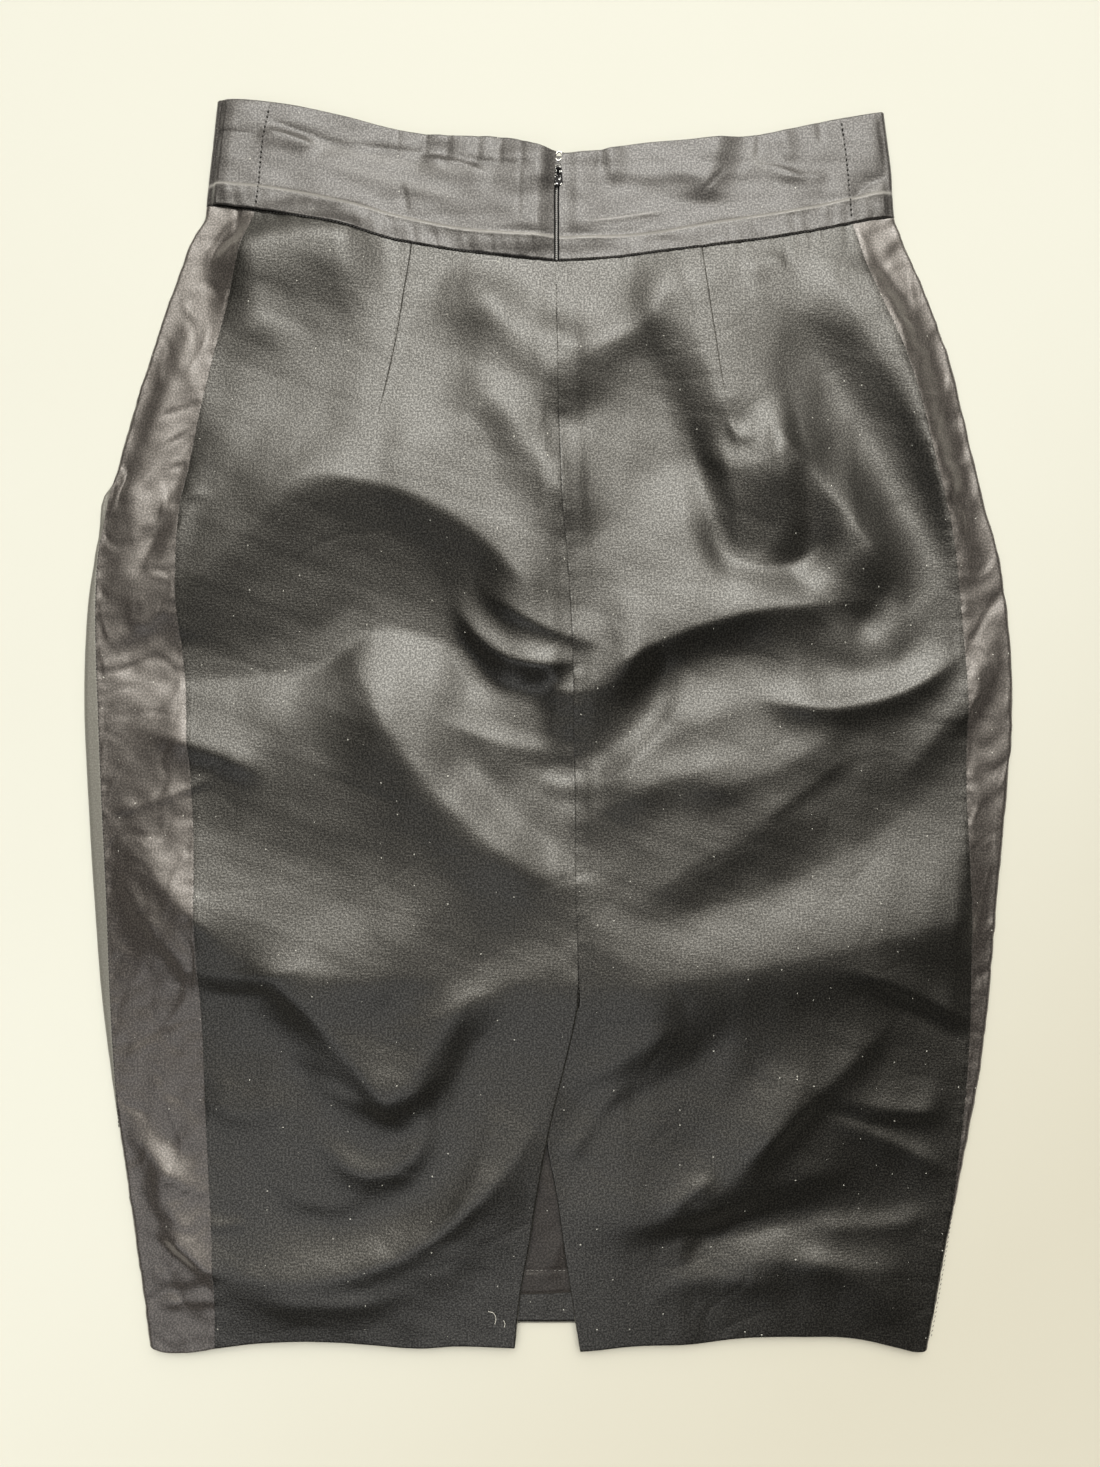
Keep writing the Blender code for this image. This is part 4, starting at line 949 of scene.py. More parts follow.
POCKET_MOUTH = (100.0, 124.0)
POCKET_GAPE = 1.5
# Colour of the painted highlight along the front's strip at the left fold
PAINTED_HIGHLIGHT_WOOL = (0.145, 0.143, 0.127, 1)


def front_places(across, y):
    """The front: from its right seam beneath the tube, then round the left fold to its left seam."""
    turn = tube("left_edge", y) + EDGE_RADIUS
    high = tube("left_front", y) - SEWN_GAP / 2
    fold_end = np.minimum(turn - math.pi * EDGE_RADIUS, high) - 6
    right_turn = tube("right_edge", y) - EDGE_RADIUS
    seam_x = 2 * right_turn + math.pi * EDGE_RADIUS - right_front(y)
    low = 2 * turn - math.pi * EDGE_RADIUS - seam_x + SEWN_GAP / 2
    middle = (low + fold_end) / 2
    return by_stretch(across, (low, middle, fold_end, high), (0.3, 0.6))


def front_relief(x, y, under, to_low, to_high, above_hem, below_seam):
    """Its seams, its hem, shallow hollows where it doesn't touch the surface, and the pocket's mouth."""
    nearer = np.minimum(to_low, to_high)
    sides = ditch(nearer, CENTRE_DITCH) + puckers(y, to_high, 23, height=0.1, reach=4)
    hollows = -0.12 * (1.2 + waviness(x, y, (26, 70), seed=5)) * step(nearer / 30)
    mouth = -POCKET_GAPE * plateau(y, *POCKET_MOUTH, fade=9) * step((5 - to_high) / 3)
    return sides + hollows + mouth + (rolled(above_hem, HEM_ROUNDING) + rolled(below_seam, 0.45))


front_wool = cloth_material("black wool sateen, with a painted highlight at the fold", **WOOL)
paint_highlight_where_masked(front_wool, PAINTED_HIGHLIGHT_WOOL)
front_columns = shares(count=60, width=430.0)
front_grid = cloth_grid(front_columns, ROWS[::3], front_places, skirt_ends, no_drop, front_relief)
front = grid_piece("front_panel", *front_grid, front_wool, CLOTH_WALL)
# It has a painted highlight, a paler wool colour, from the fold's outermost line onwards
at, y = front_grid[1][..., 0], front_grid[1][..., 1]
paint_highlight_mask(front, step((at - tube("left_edge", y) + (math.pi / 2 - 1) * EDGE_RADIUS) / 2.0 + 0.5))
dress(front, "front")


# Front hem. The front's lower edge turned up and pressed, which shows in the slit below the lining.

TURN_UP_DEPTH = 34.0
TURN_UP_INSET = 0.4
TURN_UP_HEIGHT = 1.5
INNER_WALL = 1.0


def flat_grid(left, right, low_end, high_end, height, columns_count, rows_count):
    """A piece that lies flat inside the tube, between a lower and an upper edge."""
    across, along = np.meshgrid(np.linspace(left, right, columns_count), np.linspace(0, 1, rows_count))
    low, high = low_end(across), high_end(across)
    y = low + (high - low) * along
    return across, y, np.full(np.shape(y), height), y - low


x, y, z, above_low = flat_grid(
    LINING_LEFT,
    LINING_RIGHT,
    lambda x: front_hem(x) + TURN_UP_INSET,
    lambda x: front_hem(x) + TURN_UP_DEPTH,
    TURN_UP_HEIGHT + INNER_WALL,
    columns_count=110,
    rows_count=34,
)
z = z + rolled(above_low, HEM_ROUNDING) + 0.1 * waviness(x, y, (8, 26), seed=31)
points = np.stack([x, y, z], axis=-1)
turn_up = grid_piece("front_hem_turned_up", points, points[..., :2], wool, CLOTH_WALL)
dress(turn_up, "front_hem_turn_up")


# Lining. Thin black lining satin, with its lower edge turned up and stitched. It hangs free inside
# the skirt, so it has soft creases of its own in the slit.

LINING_HEM = -287.6
LINING_HEIGHT = 2.8
LINING_HEM_DEPTH = 12.0
LINING_WALL = 0.4
LINING_CREASES = (
    ("slit crease", (16, -246), (6, -262), (-4, -282), 0.9, 5, 3),
    ("slit crease above", (-12, -222), (2, -238), (14, -252), 0.6, 5, 4),
    ("slit crease left", (-22, -236), (-12, -256), (-4, -276), -0.5, 5, 5),
)

x, y, z, above_low = flat_grid(
    LINING_LEFT,
    LINING_RIGHT,
    lambda x: np.full_like(x, LINING_HEM) + 0.5 * np.sin(x / 9),
    lambda x: np.full_like(x, LINING_TOP),
    LINING_HEIGHT + INNER_WALL,
    columns_count=84,
    rows_count=70,
)
hem_ridge = 0.35 * step((LINING_HEM_DEPTH - above_low) / 1.2)
z = z + rolled(above_low, 0.7) + hem_ridge + 0.12 * waviness(x, y, (9, 24), seed=32)
z = z + ditch(above_low - LINING_HEM_DEPTH, 0.3, reach=0.6) + sum_of_folds(LINING_CREASES, x, y)
lining_satin = cloth_material(
    "black lining satin",
    dark=(0.012, 0.0105, 0.0098),
    light=(0.022, 0.0192, 0.018),
    grain_and_glint_speck=(0.04, 0.0355, 0.033),
    edge=(0.05, 0.045, 0.042),
    gloss=(0.3, 0.45),
    roughness=(0.4, 0.32),
    slub=(900, 420),
    threads=14000,
    grain=0.00005,
    constants={"Sheen Weight": 0.05, "Sheen Tint": (0.85, 0.76, 0.72, 1)},
)
points = np.stack([x, y, z], axis=-1)
lining_piece = grid_piece("lining_hem", points, points[..., :2], lining_satin, LINING_WALL)
dress(lining_piece, "lining")


# Waistband. Five sections of the same satin, stiffened inside, sewn end to end with seams that carry
# on the panels' seams. The seam allowance, pressed upwards inside, shows through as a ridge with a painted
# highlight.

BAND_WALL = 1.1
BAND_DITCH = 0.04
BAND_FOOT_ROUNDING = 0.8
BAND_TOP_ROUNDING = 0.9
FRONT_PEEK = 0.8
PRESSED_STEP = 0.7
PRESSED_RIM = 0.25
ZIP_SLOT = 2.6
WAIST = (
    (-168.0, 317.7), (-149.7, 316.9), (-129.3, 314.6), (-108.9, 310.6), (-88.5, 305.2),
    (-68.1, 300.8), (-47.7, 298.7), (-17.1, 296.6), (-6.9, 293.3), (4.5, 290.3),
    (23.7, 291.2), (44.1, 294.8), (74.7, 296.8), (105.3, 299.6), (146.1, 308.0),
    (170.6, 312.1),
)
# How far the pressed edge of the seam allowance stands above the seam
ALLOWANCE = (
    (-172.6, 9.8), (-146.1, 12.3), (-116.5, 13.2), (-75.7, 12.0), (-34.9, 10.6), (3.3, 11.4),
    (46.7, 10.3), (87.5, 12.0), (123.2, 12.0), (151.2, 12.2), (171.6, 12.5),
)
# Creases of the band, in the same columns as the folds
BAND_CREASES = (
    ("left shade", (-154.7, 335.0), (-159.8, 292.8), (-165.2, 245.4), 2.5, 40, 10.5, 1.7),
    ("left end crease", (-177.8, 300.2), (-160.0, 300.2), (-141.4, 298.2), -0.3, 1.4, 3.0, 1.7),
    ("upper crease west", (-149.8, 310.4), (-123.6, 300.2), (-93.2, 291.7), -0.42, 1.9, 5, 1.6),
    ("upper crease east", (-115.2, 296.8), (-62.7, 289.5), (3.2, 279.6), -0.42, 1.9, 5, 1.6),
    ("left dark patch", (-148.1, 301.6), (-132.1, 298.2), (-114.3, 290.7), 1.3, 2.5, 6, 1.7),
    ("third band", (-123.6, 286.3), (-79.8, 274.5), (-27.2, 262.0), 0.5, 7, 5, 1.7),
    ("big dark patch", (-67.0, 287.0), (-47.5, 284.3), (-27.2, 275.8), 1.5, 3, 8, 1.8),
    ("blob", (-74.9, 276.7), (-72.9, 267.4), (-70.8, 257.9), -0.4, 2, 2, 2),
    ("pucker one", (-75.6, 305.4), (-75.9, 297.0), (-77.1, 287.7), -0.2, 1.4, 1.8, 2),
    ("pucker two", (-61.5, 306.3), (-62.4, 295.8), (-63.6, 285.1), -0.4, 2.2, 2, 2),
    ("pucker three", (-50.2, 306.3), (-51.6, 293.6), (-52.9, 280.6), -0.65, 3.2, 2.6, 2),
    ("pucker four", (-34.3, 304.6), (-35.7, 291.9), (-37.4, 280.1), -0.6, 2.6, 3.2, 2),
    ("top shade", (-62.7, 300.2), (-43.3, 299.5), (-23.0, 295.1), 0.9, 4, 9, 1.8),
    ("pucker five", (-23.8, 302.9), (-24.5, 291.1), (-25.2, 280.6), -0.35, 2, 2, 2),
    ("pucker six", (-13.3, 301.2), (-13.7, 289.4), (-13.0, 278.9), -0.3, 1.8, 1.8, 2),
    ("left of zip", (-5.6, 308.0), (-6.2, 269.1), (-6.9, 230.2), 4.0, 9, 30, 1.6),
    ("zip top shade", (-2.2, 302.9), (-2.8, 285.1), (-3.9, 265.7), 1.5, 6, 14, 1.8),
    ("thin crease", (-14.2, 284.3), (-14.7, 268.2), (-15.4, 252.2), -0.2, 1.1, 1.1, 2),
    ("strip pucker one", (-29.2, 250.5), (-28.7, 242.9), (-28.2, 235.3), -0.35, 1.8, 1.8, 2),
    ("strip pucker two", (-58.0, 252.2), (-56.8, 244.6), (-55.6, 236.9), -0.25, 1.8, 1.6, 2),
    ("strip pucker three", (-8.6, 249.6), (-8.3, 242.0), (-7.9, 235.3), -0.3, 2, 2, 2),
    ("strip pucker four", (-42.1, 251.3), (-40.7, 243.7), (-39.4, 236.9), -0.25, 1.8, 1.6, 2),
    ("strip pucker five", (-69.5, 255.5), (-68.1, 248.8), (-67.1, 242.0), -0.25, 1.6, 1.6, 2),
    ("right of zip", (16.1, 309.0), (15.8, 272.3), (15.1, 235.6), 1.7, 13, 6, 1.8),
    ("pucker seven", (27.9, 304.2), (26.6, 290.6), (25.3, 278.7), -0.35, 1.6, 1.8, 2),
    ("pucker eight", (31.1, 307.4), (31.9, 289.0), (33.3, 269.9), 1.4, 7, 4, 1.8),
    ("dark wedge", (88.3, 310.6), (81.9, 283.1), (75.1, 262.7), 2.7, 9, 24, 1.7),
    ("wedge ridge", (105.4, 304.2), (103.1, 288.2), (97.1, 273.9), 0.3, 5, 4, 1.7),
    ("wedge crease", (90.7, 283.1), (83.0, 275.2), (75.1, 266.6), -0.2, 1.3, 1.5, 2),
    ("light ridge", (95.5, 283.1), (111.4, 283.1), (132.1, 275.2), 0.5, 1.6, 4, 1.7),
    ("pucker nine", (107.3, 304.2), (106.3, 294.3), (105.4, 285.4), -0.4, 2, 2.2, 2),
    ("pucker ten", (119.1, 307.4), (120.3, 294.6), (121.9, 283.1), 0.8, 5, 4, 1.8),
    ("pucker eleven", (136.6, 313.7), (137.2, 303.4), (138.5, 293.0), -0.35, 2.2, 2.2, 2),
    ("right patch", (113.0, 278.4), (125.8, 277.1), (142.5, 278.7), 0.9, 3, 6, 1.8),
    ("light line", (14.2, 254.1), (37.0, 257.2), (60.4, 260.8), 0.35, 1.0, 1.8, 1.8),
    ("right end fold", (151.3, 263.4), (161.6, 274.2), (176.8, 280.9), -0.9, 5, 3, 1.6),
    ("right end shade", (161.9, 315.3), (164.3, 285.1), (167.8, 250.0), 1.1, 7, 40, 1.7),
)
# Painted highlights on the band: a paler colour along the pressed ridge and along the light lines below, in
# the same columns as the folds
PAINTED_HIGHLIGHT_COLOUR = (0.24, 0.235, 0.225, 1)
PAINTED_HIGHLIGHT_LINES = (
    ("below the upper crease", (-150, 307), (-94, 289.5), (-10, 280.5), 0.16, 1, 4),
    ("middle line", (-124, 290), (-80, 276), (-34, 264), 0.12, 3, 3),
    ("thin line", (14, 254), (37, 257.2), (62, 261), 0.5, 0.7, 0.7),
    ("beside the wedge", (101, 297), (104, 288), (113, 280), 0.18, 3, 3),
    ("below the end fold", (157, 265), (164, 270), (173, 275), 0.25, 2.5, 3),
)
allowance = edge_line(ALLOWANCE)
waist = edge_line(WAIST)


def above_skirt(x, under):
    return band_seam(x) + SEWN_GAP


def band_top(x, under):
    """The front of the band stands a little above the back."""
    peek = FRONT_PEEK * step((150 - np.abs(x)) / 60)
    return waist(x) + np.where(under, peek, 0.0)


def pressed_height(x, y):
    """How high the band's outer face stands over its allowance and its creases."""
    below_ridge = band_seam(x) + SEWN_GAP + allowance(x) - y
    ridge = PRESSED_STEP * step(below_ridge / 1.6 + 0.5)
    ridge = ridge + PRESSED_RIM * np.exp(-((below_ridge / 1.2) ** 2))
    return ridge + sum_of_folds(BAND_CREASES, x, y)


def band_relief(x, y, under, to_low, to_high, above_seam, below_top):
    """The allowance's ridge, the facing's crease below the top, creases, sewn ends and rolled edges."""
    inset = np.minimum(x - tube("left_edge", y), tube("right_edge", y) - x)
    outer = step((inset - 2) / 4) * ~under
    strip = 0.1 * waviness(x, 0.25 * y, (5, 12), seed=51) * plateau(above_seam, 2, 9, 3)
    ripples = 0.17 * waviness(0.35 * x + 0.1 * y, y, (6, 16), seed=52)
    nearer = np.minimum(to_low, to_high)
    sides = ditch(nearer, BAND_DITCH) + puckers(y, nearer, 53, height=0.1, reach=3)
    ends = rolled(above_seam, BAND_FOOT_ROUNDING) + rolled(below_top, BAND_TOP_ROUNDING)
    return outer * (pressed_height(x, y) + strip + ripples) + sides + ends


def beside_zip(side):
    return lambda y: tube("centre", y) + side * ZIP_SLOT / 2


ROWS_AT_BAND_ENDS = (0.001, 0.004, 0.007, 0.0135, 0.984, 0.991, 0.996, 0.999)
BAND_ROWS = np.union1d(np.linspace(0, 1, 100), np.array(ROWS_AT_BAND_ENDS))
band_ends = (above_skirt, band_top)
left_of_zip = between(seam("left_back"), beside_zip(-1))
right_of_zip = between(beside_zip(1), seam("right_back"))
# CAD node, places, shares across, area in square metres, and flat size in metres
BAND_SECTIONS = (
    ("band_back_left", left_of_zip, shares(185, 150.0), 0.0082, (0.158, 0.062)),
    ("band_back_right", right_of_zip, shares(185, 150.0), 0.0082, (0.158, 0.062)),
    ("band_side_left", round_left_edge, shares(60, 34.0), 0.0018, (0.034, 0.058)),
    ("band_side_right", round_right_edge, shares(60, 34.0), 0.0018, (0.034, 0.058)),
    ("band_front", front_places, shares(60, 330.0), 0.0175, (0.33, 0.064)),
)
band_satin = cloth_material(
    "black band satin",
    dark=(0.009, 0.0084, 0.0084),
    light=(0.02, 0.0187, 0.0185),
    grain_and_glint_speck=(0.055, 0.0515, 0.051),
    edge=(0.13, 0.127, 0.125),
    gloss=(0.42, 0.78),
    roughness=(0.34, 0.26),
    slub=(600, 900),
    threads=12000,
    grain=0.00004,
    constants={
        "IOR": 1.6,
        "Specular Tint": (1.0, 0.98, 0.97, 1),
        "Sheen Weight": 0.06,
        "Sheen Roughness": 0.45,
        "Sheen Tint": (0.85, 0.8, 0.78, 1),
    },
)
paint_highlight_where_masked(band_satin, PAINTED_HIGHLIGHT_COLOUR)
for node, place, across, area, flat in BAND_SECTIONS:
    grid = cloth_grid(across, BAND_ROWS, place, band_ends, no_drop, band_relief)
    section = grid_piece(node + "_section", *grid, band_satin, BAND_WALL)
    at, y = grid[1][..., 0], grid[1][..., 1]
    off_ridge = y - band_seam(at) - allowance(at)
    # Where the band gets its painted highlight: along the pressed ridge and the light lines
    paint_highlight_mask(section, np.exp(-((off_ridge / 0.9) ** 2)) + sum_of_folds(PAINTED_HIGHLIGHT_LINES, at, y))
    dress(section, node)


# Seam stitches. Black thread that shows as small dots and ticks in the seams: short round-ended
# stitches, one after another along each seam.

THREAD_LIFT = 0.1
UP = np.array((0.0, 0.0, 1.0))
STITCH_STATIONS = np.array((-0.5, -0.35, 0.0, 0.35, 0.5))
STITCH_GIRTHS = np.array((0.05, 0.8, 1.0, 0.8, 0.05))


def round_faces(number):
    """Quads between each closed ring of point numbers and the next one."""
    turned = np.roll(number, -1, axis=-1)
    corners = (number[..., :-1, :], turned[..., :-1, :], turned[..., 1:, :], number[..., 1:, :])
    return np.stack(corners, axis=-1).reshape(-1, 4)


def unit(vectors):
    return vectors / np.linalg.norm(vectors, axis=-1, keepdims=True)


def stitches(name, path, pitch, length, radius, turn, material):
    """Short stitches along a path, each a six-sided spindle, turned by an angle against the path."""
    gaps = np.linalg.norm(np.diff(path, axis=0), axis=1)
    run = np.concatenate([[0], np.cumsum(gaps)])
    at = np.arange(pitch, run[-1] - pitch, pitch)
    centre = np.stack([np.interp(at, run, path[:, axis]) for axis in range(3)], axis=-1)
    ahead = np.stack([np.interp(at + 0.5, run, path[:, axis]) for axis in range(3)], axis=-1)
    ahead = unit(ahead - centre)
    heading = math.cos(turn) * ahead + math.sin(turn) * np.cross(UP, ahead)
    aside = np.cross(UP, heading)
    angles = 2 * math.pi * np.arange(6) / 6
    girths = (STITCH_GIRTHS * radius)[:, None]
    rings = (
        centre[:, None, None, :]
        + heading[:, None, None, :] * (STITCH_STATIONS * length)[None, :, None, None]
        + aside[:, None, None, :] * (girths * np.cos(angles))[None, :, :, None]
        + UP * (girths * np.sin(angles))[None, :, :, None]
    )
    number = np.arange(rings.size // 3).reshape(rings.shape[:3])
    caps = np.concatenate([number[:, 0, ::-1], number[:, -1]])
    return new_piece(name, rings, round_faces(number).tolist() + caps.tolist(), material)


def two_tone(name, dark, light, scale, detail, roughness, constants):
    """A plain finish. Fine noise takes its colour, and its roughness if given, from one to another."""
    made, shader, tree = new_material(name, constants)
    fuzz = noise(tree, add(tree, "TexCoord").outputs["Object"], scale, detail)
    tree.links.new(mixed(tree, fuzz, (*dark, 1), (*light, 1)), shader.inputs["Base Color"])
    if roughness:
        tree.links.new(ranged(tree, fuzz, *roughness), shader.inputs["Roughness"])
    return made


def on_top(x, y, lift):
    """Points on the back's outer face, lifted or sunk by a little."""
    return np.stack([x, y, drape(x, y) + lift], axis=-1)


down = np.linspace(234, SEAM_END, 400)
side_down = np.linspace(252, -312, 500)
front_down = np.linspace(96, -205, 300)
across_band = np.linspace(-172, 172, 500)


def up_the_band(name):
    """Points up a seam of the band, from just above the skirt to just below the top."""
    x = tube(name, 285.0)
    y = np.linspace(band_seam(x) + 2.0, waist(x) - 1.5, 80)
    return on_top(tube(name, y), y, pressed_height(tube(name, y), y) + THREAD_LIFT)


left_seam = tube("left_back", side_down) - 0.3
right_seam = tube("right_back", side_down) + 0.3
front_seam = tube("left_front", front_down)
# Name, path, pitch, length, radius and the angle against the seam
SEAM_THREADS = (
    ("centre_back_stitches", on_top(tube("centre", down), down, -0.16), 2.4, 1.5, 0.2, 0.0),
    ("left_side_stitches", on_top(left_seam, side_down, -THREAD_LIFT), 2.4, 1.3, 0.17, 0.3),
    ("right_side_stitches", on_top(right_seam, side_down, -THREAD_LIFT), 2.4, 1.3, 0.17, -0.3),
    ("front_side_stitches", on_top(front_seam, front_down, -THREAD_LIFT), 1.9, 1.7, 0.26, 0.0),
    ("band_seam_stitches", on_top(across_band, band_seam(across_band), 0.0), 1.75, 1.35, 0.5, 0.4),
    ("band_left_stitches", up_the_band("left_back"), 2.6, 1.25, 0.5, 0.1),
    ("band_right_stitches", up_the_band("right_back"), 2.6, 1.25, 0.45, -0.1),
)
thread = two_tone(
    "black thread",
    dark=(0.008, 0.008, 0.008),
    light=(0.03, 0.028, 0.027),
    scale=2600.0,
    detail=2.0,
    roughness=(0.35, 0.65),
    constants={"Specular IOR Level": 0.6},
)
for name, path, pitch, length, radius, turn in SEAM_THREADS:
    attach(stitches(name, path, pitch, length, radius, turn, thread), "skirt")

grey_thread = two_tone(
    "grey thread",
    dark=(0.1, 0.095, 0.09),
    light=(0.22, 0.21, 0.2),
    scale=2600.0,
    detail=2.0,
    roughness=None,
    constants={"Specular IOR Level": 0.6, "Roughness": 0.5},
)
across_slit = np.linspace(-22, 22, 90)
hem_line = across_slit[:, None] * np.array((1.0, 0.0, 0.0))
hem_line = hem_line + np.array((0.0, LINING_HEM + LINING_HEM_DEPTH, LINING_HEIGHT + INNER_WALL + 0.14))
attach(stitches("lining_hem_stitches", hem_line, 2.3, 1.6, 0.2, 0.0, grey_thread), "skirt")


# Zip. An invisible zip: between the folded edges of the band lie its two dark tapes and, along their
# middle, the closed grey coil of its teeth.

TAPE_DROP = 1.0
TAPE_HALF = 6.0
TAPE_WALL = 0.5
TAPE_ENDS = (235.6, 277.4)
TAPE_STEP = 0.7
COIL_HALF = 0.6
COIL_PITCH = 1.05
COIL_TOP = 277.0
COIL_END = 222.0

side, y = np.meshgrid(np.linspace(-TAPE_HALF, TAPE_HALF, 61), np.linspace(*TAPE_ENDS, 60))
x = tube("centre", y) + side
z = drape(x, y) - TAPE_DROP - TAPE_STEP * step((np.abs(side) - COIL_HALF) / 0.5)
tape = cloth_material(
    "black zip tape",
    dark=(0.006, 0.006, 0.0065),
    light=(0.014, 0.014, 0.015),
    grain_and_glint_speck=(0.03, 0.03, 0.031),
    edge=(0.04, 0.04, 0.041),
    gloss=(0.3, 0.5),
    roughness=(0.6, 0.5),
    slub=(2200, 900),
    threads=9000,
    grain=0.00006,
    constants={},
)
points = np.stack([x, y, z], axis=-1)
zip_tape = grid_piece("zip_tapes", points, np.stack([side, y], axis=-1), tape, TAPE_WALL)
dress(zip_tape, "zip_chain")

coil_grey = two_tone(
    "grey zip coil",
    dark=(0.3, 0.3, 0.3),
    light=(0.55, 0.55, 0.54),
    scale=900.0,
    detail=3.0,
    roughness=(0.55, 0.35),
    constants={"Specular IOR Level": 0.6},
)
coil_y = np.linspace(COIL_TOP, COIL_END, 200)
coil_path = on_top(tube("centre", coil_y), coil_y, -0.35)
coil = stitches("zip_coil", coil_path, COIL_PITCH, 1.3, 0.5, math.radians(62), coil_grey)
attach(coil, "skirt")


# Slider and pull tab. Painted metal with the paint worn off the edges. The tab is a flat drop with a
# window near its top, which hangs on the slider's bridge and swings on it.

PIN = (4.8, 281.5, 7.35)
TAB_LENGTH = 9.6
TAB_HALF_WIDTH = 2.45
TAB_SHOULDER = 1.95
TAB_THICK = 0.9
TAB_ROUNDING = 0.28
TAB_TOP = 0.45
TAB_CROWN = 0.12
WINDOW_CENTRE = (0.0, -1.33)
WINDOW_HALF = (1.1, 0.88)
PAINT_SHINE = 0.1


def squared(heading, amount):
    """A circle flattened towards a square: its two parts are stretched and cut off at 1."""
    return np.clip(heading * amount, -1, 1)


def drop_outline(heading):
    """The tab's outline by heading: two circles joined by straight sides, the lower one the wider."""
    upper = np.array((0.0, TAB_TOP - TAB_SHOULDER)) + squared(heading, 1.6) * TAB_SHOULDER
    lower = np.array((0.0, TAB_TOP - TAB_LENGTH + TAB_HALF_WIDTH)) + heading * TAB_HALF_WIDTH
    return np.where(heading[:, 1:] > 0, upper, lower)


turn = np.linspace(0, 2 * math.pi, 73)[:-1]
heading = np.stack([np.cos(turn), np.sin(turn)], axis=-1)
outline = drop_outline(heading)
window = np.array(WINDOW_CENTRE) + squared(heading, 1.5) * np.array(WINDOW_HALF)
half = TAB_THICK / 2
rounding = np.radians((90, 60, 30, 0, -30, -60, -90))
edge_share = 1 - TAB_ROUNDING * (1 - np.cos(rounding)) / TAB_HALF_WIDTH
edge_height = (half - TAB_ROUNDING) * np.sign(np.round(np.sin(rounding), 6))
edge_height = edge_height + TAB_ROUNDING * np.sin(rounding)
share = np.concatenate([[0.0, 0.5], edge_share, [0.5, 0.0]])[:, None, None]
height = np.concatenate([[half, half + TAB_CROWN], edge_height, [-half, -half]])[:, None, None]
flat_rings = window + (outline - window) * share
rings = np.concatenate([flat_rings, height + 0 * flat_rings[..., :1]], axis=-1)
number = np.arange(rings.size // 3).reshape(rings.shape[:2])
tab_faces = round_faces(np.concatenate([number, number[:1]]))[:, ::-1]


def worn_metal(name, paint, metal, wear_from, wear_to):
    """Paint over bright metal: noise decides where it has chipped, and the chips are a little lower."""
    made, shader, tree = new_material(name, {"Specular IOR Level": PAINT_SHINE})
    spot = add(tree, "TexCoord").outputs["Object"]
    uneven = noise(tree, spot, 620.0, 4.0)
    chips = ranged(tree, uneven, 0.0, 1.0, wear_from, wear_to)
    bump = add(tree, "Bump", {"Height": uneven, "Distance": 0.00012, "Strength": 0.7})
    tree.links.new(mixed(tree, chips, (*paint, 1), (*metal, 1)), shader.inputs["Base Color"])
    tree.links.new(chips, shader.inputs["Metallic"])
    tree.links.new(ranged(tree, uneven, 0.3, 0.5), shader.inputs["Roughness"])
    tree.links.new(bump.outputs["Normal"], shader.inputs["Normal"])
    return made


black_paint = worn_metal("chipped black paint", (0.008, 0.008, 0.009), (0.75, 0.75, 0.74), 0.57, 0.61)
tab = new_piece("pull_tab", rings + np.array(PIN), tab_faces.tolist(), black_paint)
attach(tab, "zip_pull")
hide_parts("zip_pull_tab")

bare_edges = worn_metal("worn slider paint", (0.012, 0.012, 0.013), (0.8, 0.8, 0.78), 0.5, 0.55)
nodes["zip_slider"].data.materials.clear()
nodes["zip_slider"].data.materials.append(bare_edges)


# Hook loop. A bright wire loop that is sewn on at the top of the zip.

HOOK_CENTRE = (5.2, 287.9)
HOOK_HALF = (1.6, 2.3)
HOOK_WIRE = 0.42
HOOK_LEAN = math.radians(-12)
HOOK_CLEARANCE = 0.3

ring_turns = np.linspace(0, 2 * math.pi, 49)[:-1]
wire_turns = np.linspace(0, 2 * math.pi, 13)[:-1]
ring_turn, wire_turn = np.meshgrid(ring_turns, wire_turns)
loop_x = (HOOK_HALF[0] + HOOK_WIRE * np.cos(wire_turn)) * np.cos(ring_turn)
loop_y = (HOOK_HALF[1] + HOOK_WIRE * np.cos(wire_turn)) * np.sin(ring_turn)
hook_z = float(drape(*map(np.array, HOOK_CENTRE))) + HOOK_WIRE + HOOK_CLEARANCE
x = HOOK_CENTRE[0] + loop_x * math.cos(HOOK_LEAN) - loop_y * math.sin(HOOK_LEAN)
y = HOOK_CENTRE[1] + loop_x * math.sin(HOOK_LEAN) + loop_y * math.cos(HOOK_LEAN)
points = np.stack([x, y, hook_z + HOOK_WIRE * np.sin(wire_turn)], axis=-1)
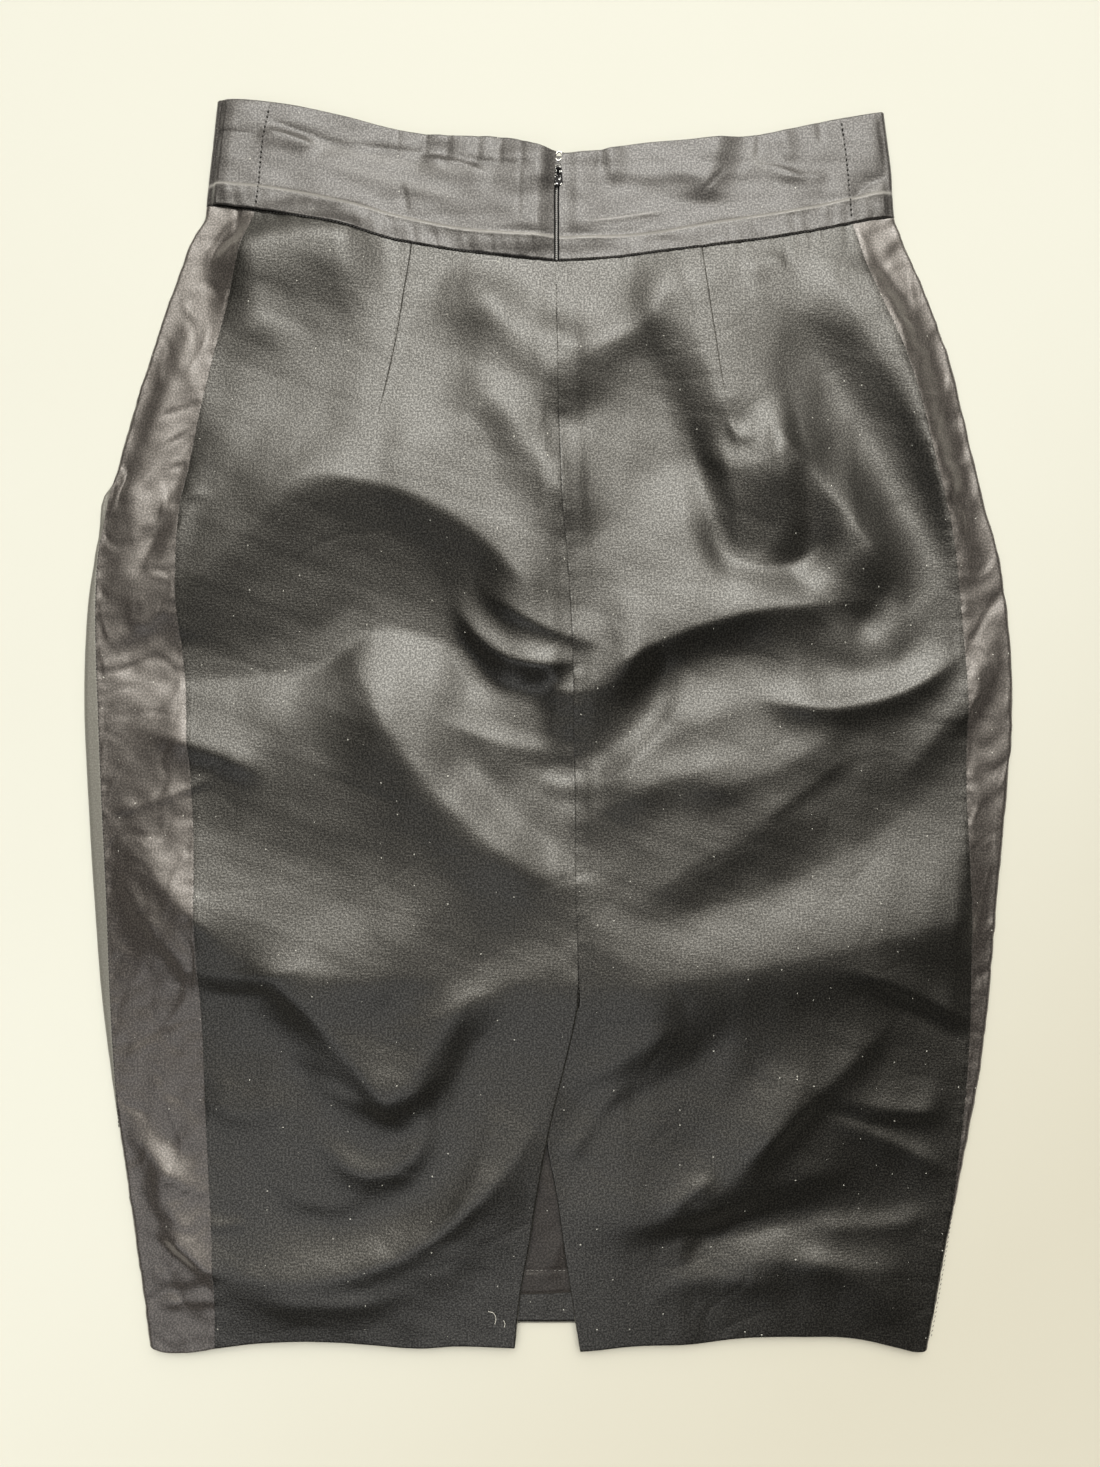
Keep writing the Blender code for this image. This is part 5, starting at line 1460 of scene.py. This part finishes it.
number = np.arange(x.size).reshape(x.shape)
nickel = two_tone(
    "bright nickel",
    dark=(0.62, 0.61, 0.58),
    light=(0.85, 0.84, 0.81),
    scale=700.0,
    detail=3.0,
    roughness=(0.36, 0.18),
    constants={"Metallic": 1.0},
)
hook_faces = round_faces(np.concatenate([number, number[:1]]))
hook = new_piece("hook_loop", points, hook_faces.tolist(), nickel)
dress(hook, "waist_hook")


# Thread tacks. Two loose ends of pale tacking thread at the lower corner of the slit's left flap.

TACK_RADIUS = 0.16


def loose_thread(name, points, radius, material):
    """A round thread along a smooth curve through the points: circles carried along the path."""
    stations = np.linspace(0, 1, len(points))
    at = np.linspace(0, 1, 40)
    path = np.stack([smooth(stations, np.array(points)[:, axis], at) for axis in range(2)], axis=-1)
    path = np.column_stack([path, drape(path[:, 0], path[:, 1]) + 0.9 * radius])
    ahead = unit(np.gradient(path, axis=0))
    aside = unit(np.cross(ahead, UP))
    angles = 2 * math.pi * np.arange(8) / 8
    girth = (radius * np.sqrt(np.clip(1 - np.abs(2 * at - 1) ** 30, 0.01, 1)))[:, None, None]
    rings = (
        path[:, None, :]
        + girth * np.cos(angles)[None, :, None] * aside[:, None, :]
        + girth * np.sin(angles)[None, :, None] * np.cross(aside, ahead)[:, None, :]
    )
    number = np.arange(rings.size // 3).reshape(rings.shape[:2])
    caps = [number[0].tolist(), number[-1, ::-1].tolist()]
    return new_piece(name, rings, round_faces(number)[:, ::-1].tolist() + caps, material)


pale = two_tone(
    "pale tacking thread",
    dark=(0.36, 0.35, 0.32),
    light=(0.7, 0.69, 0.64),
    scale=1800.0,
    detail=2.0,
    roughness=(0.6, 0.8),
    constants={"Specular IOR Level": 0.3},
)
LOOSE_THREADS = (
    ("tack_long", ((-30.6, -295.3), (-27.8, -296.2), (-26.6, -299.0), (-27.2, -302.2))),
    ("tack_short", ((-22.7, -299.9), (-22.0, -301.8), (-22.4, -303.6))),
)
for name, points in LOOSE_THREADS:
    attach(loose_thread(name, points, TACK_RADIUS, pale), "skirt")
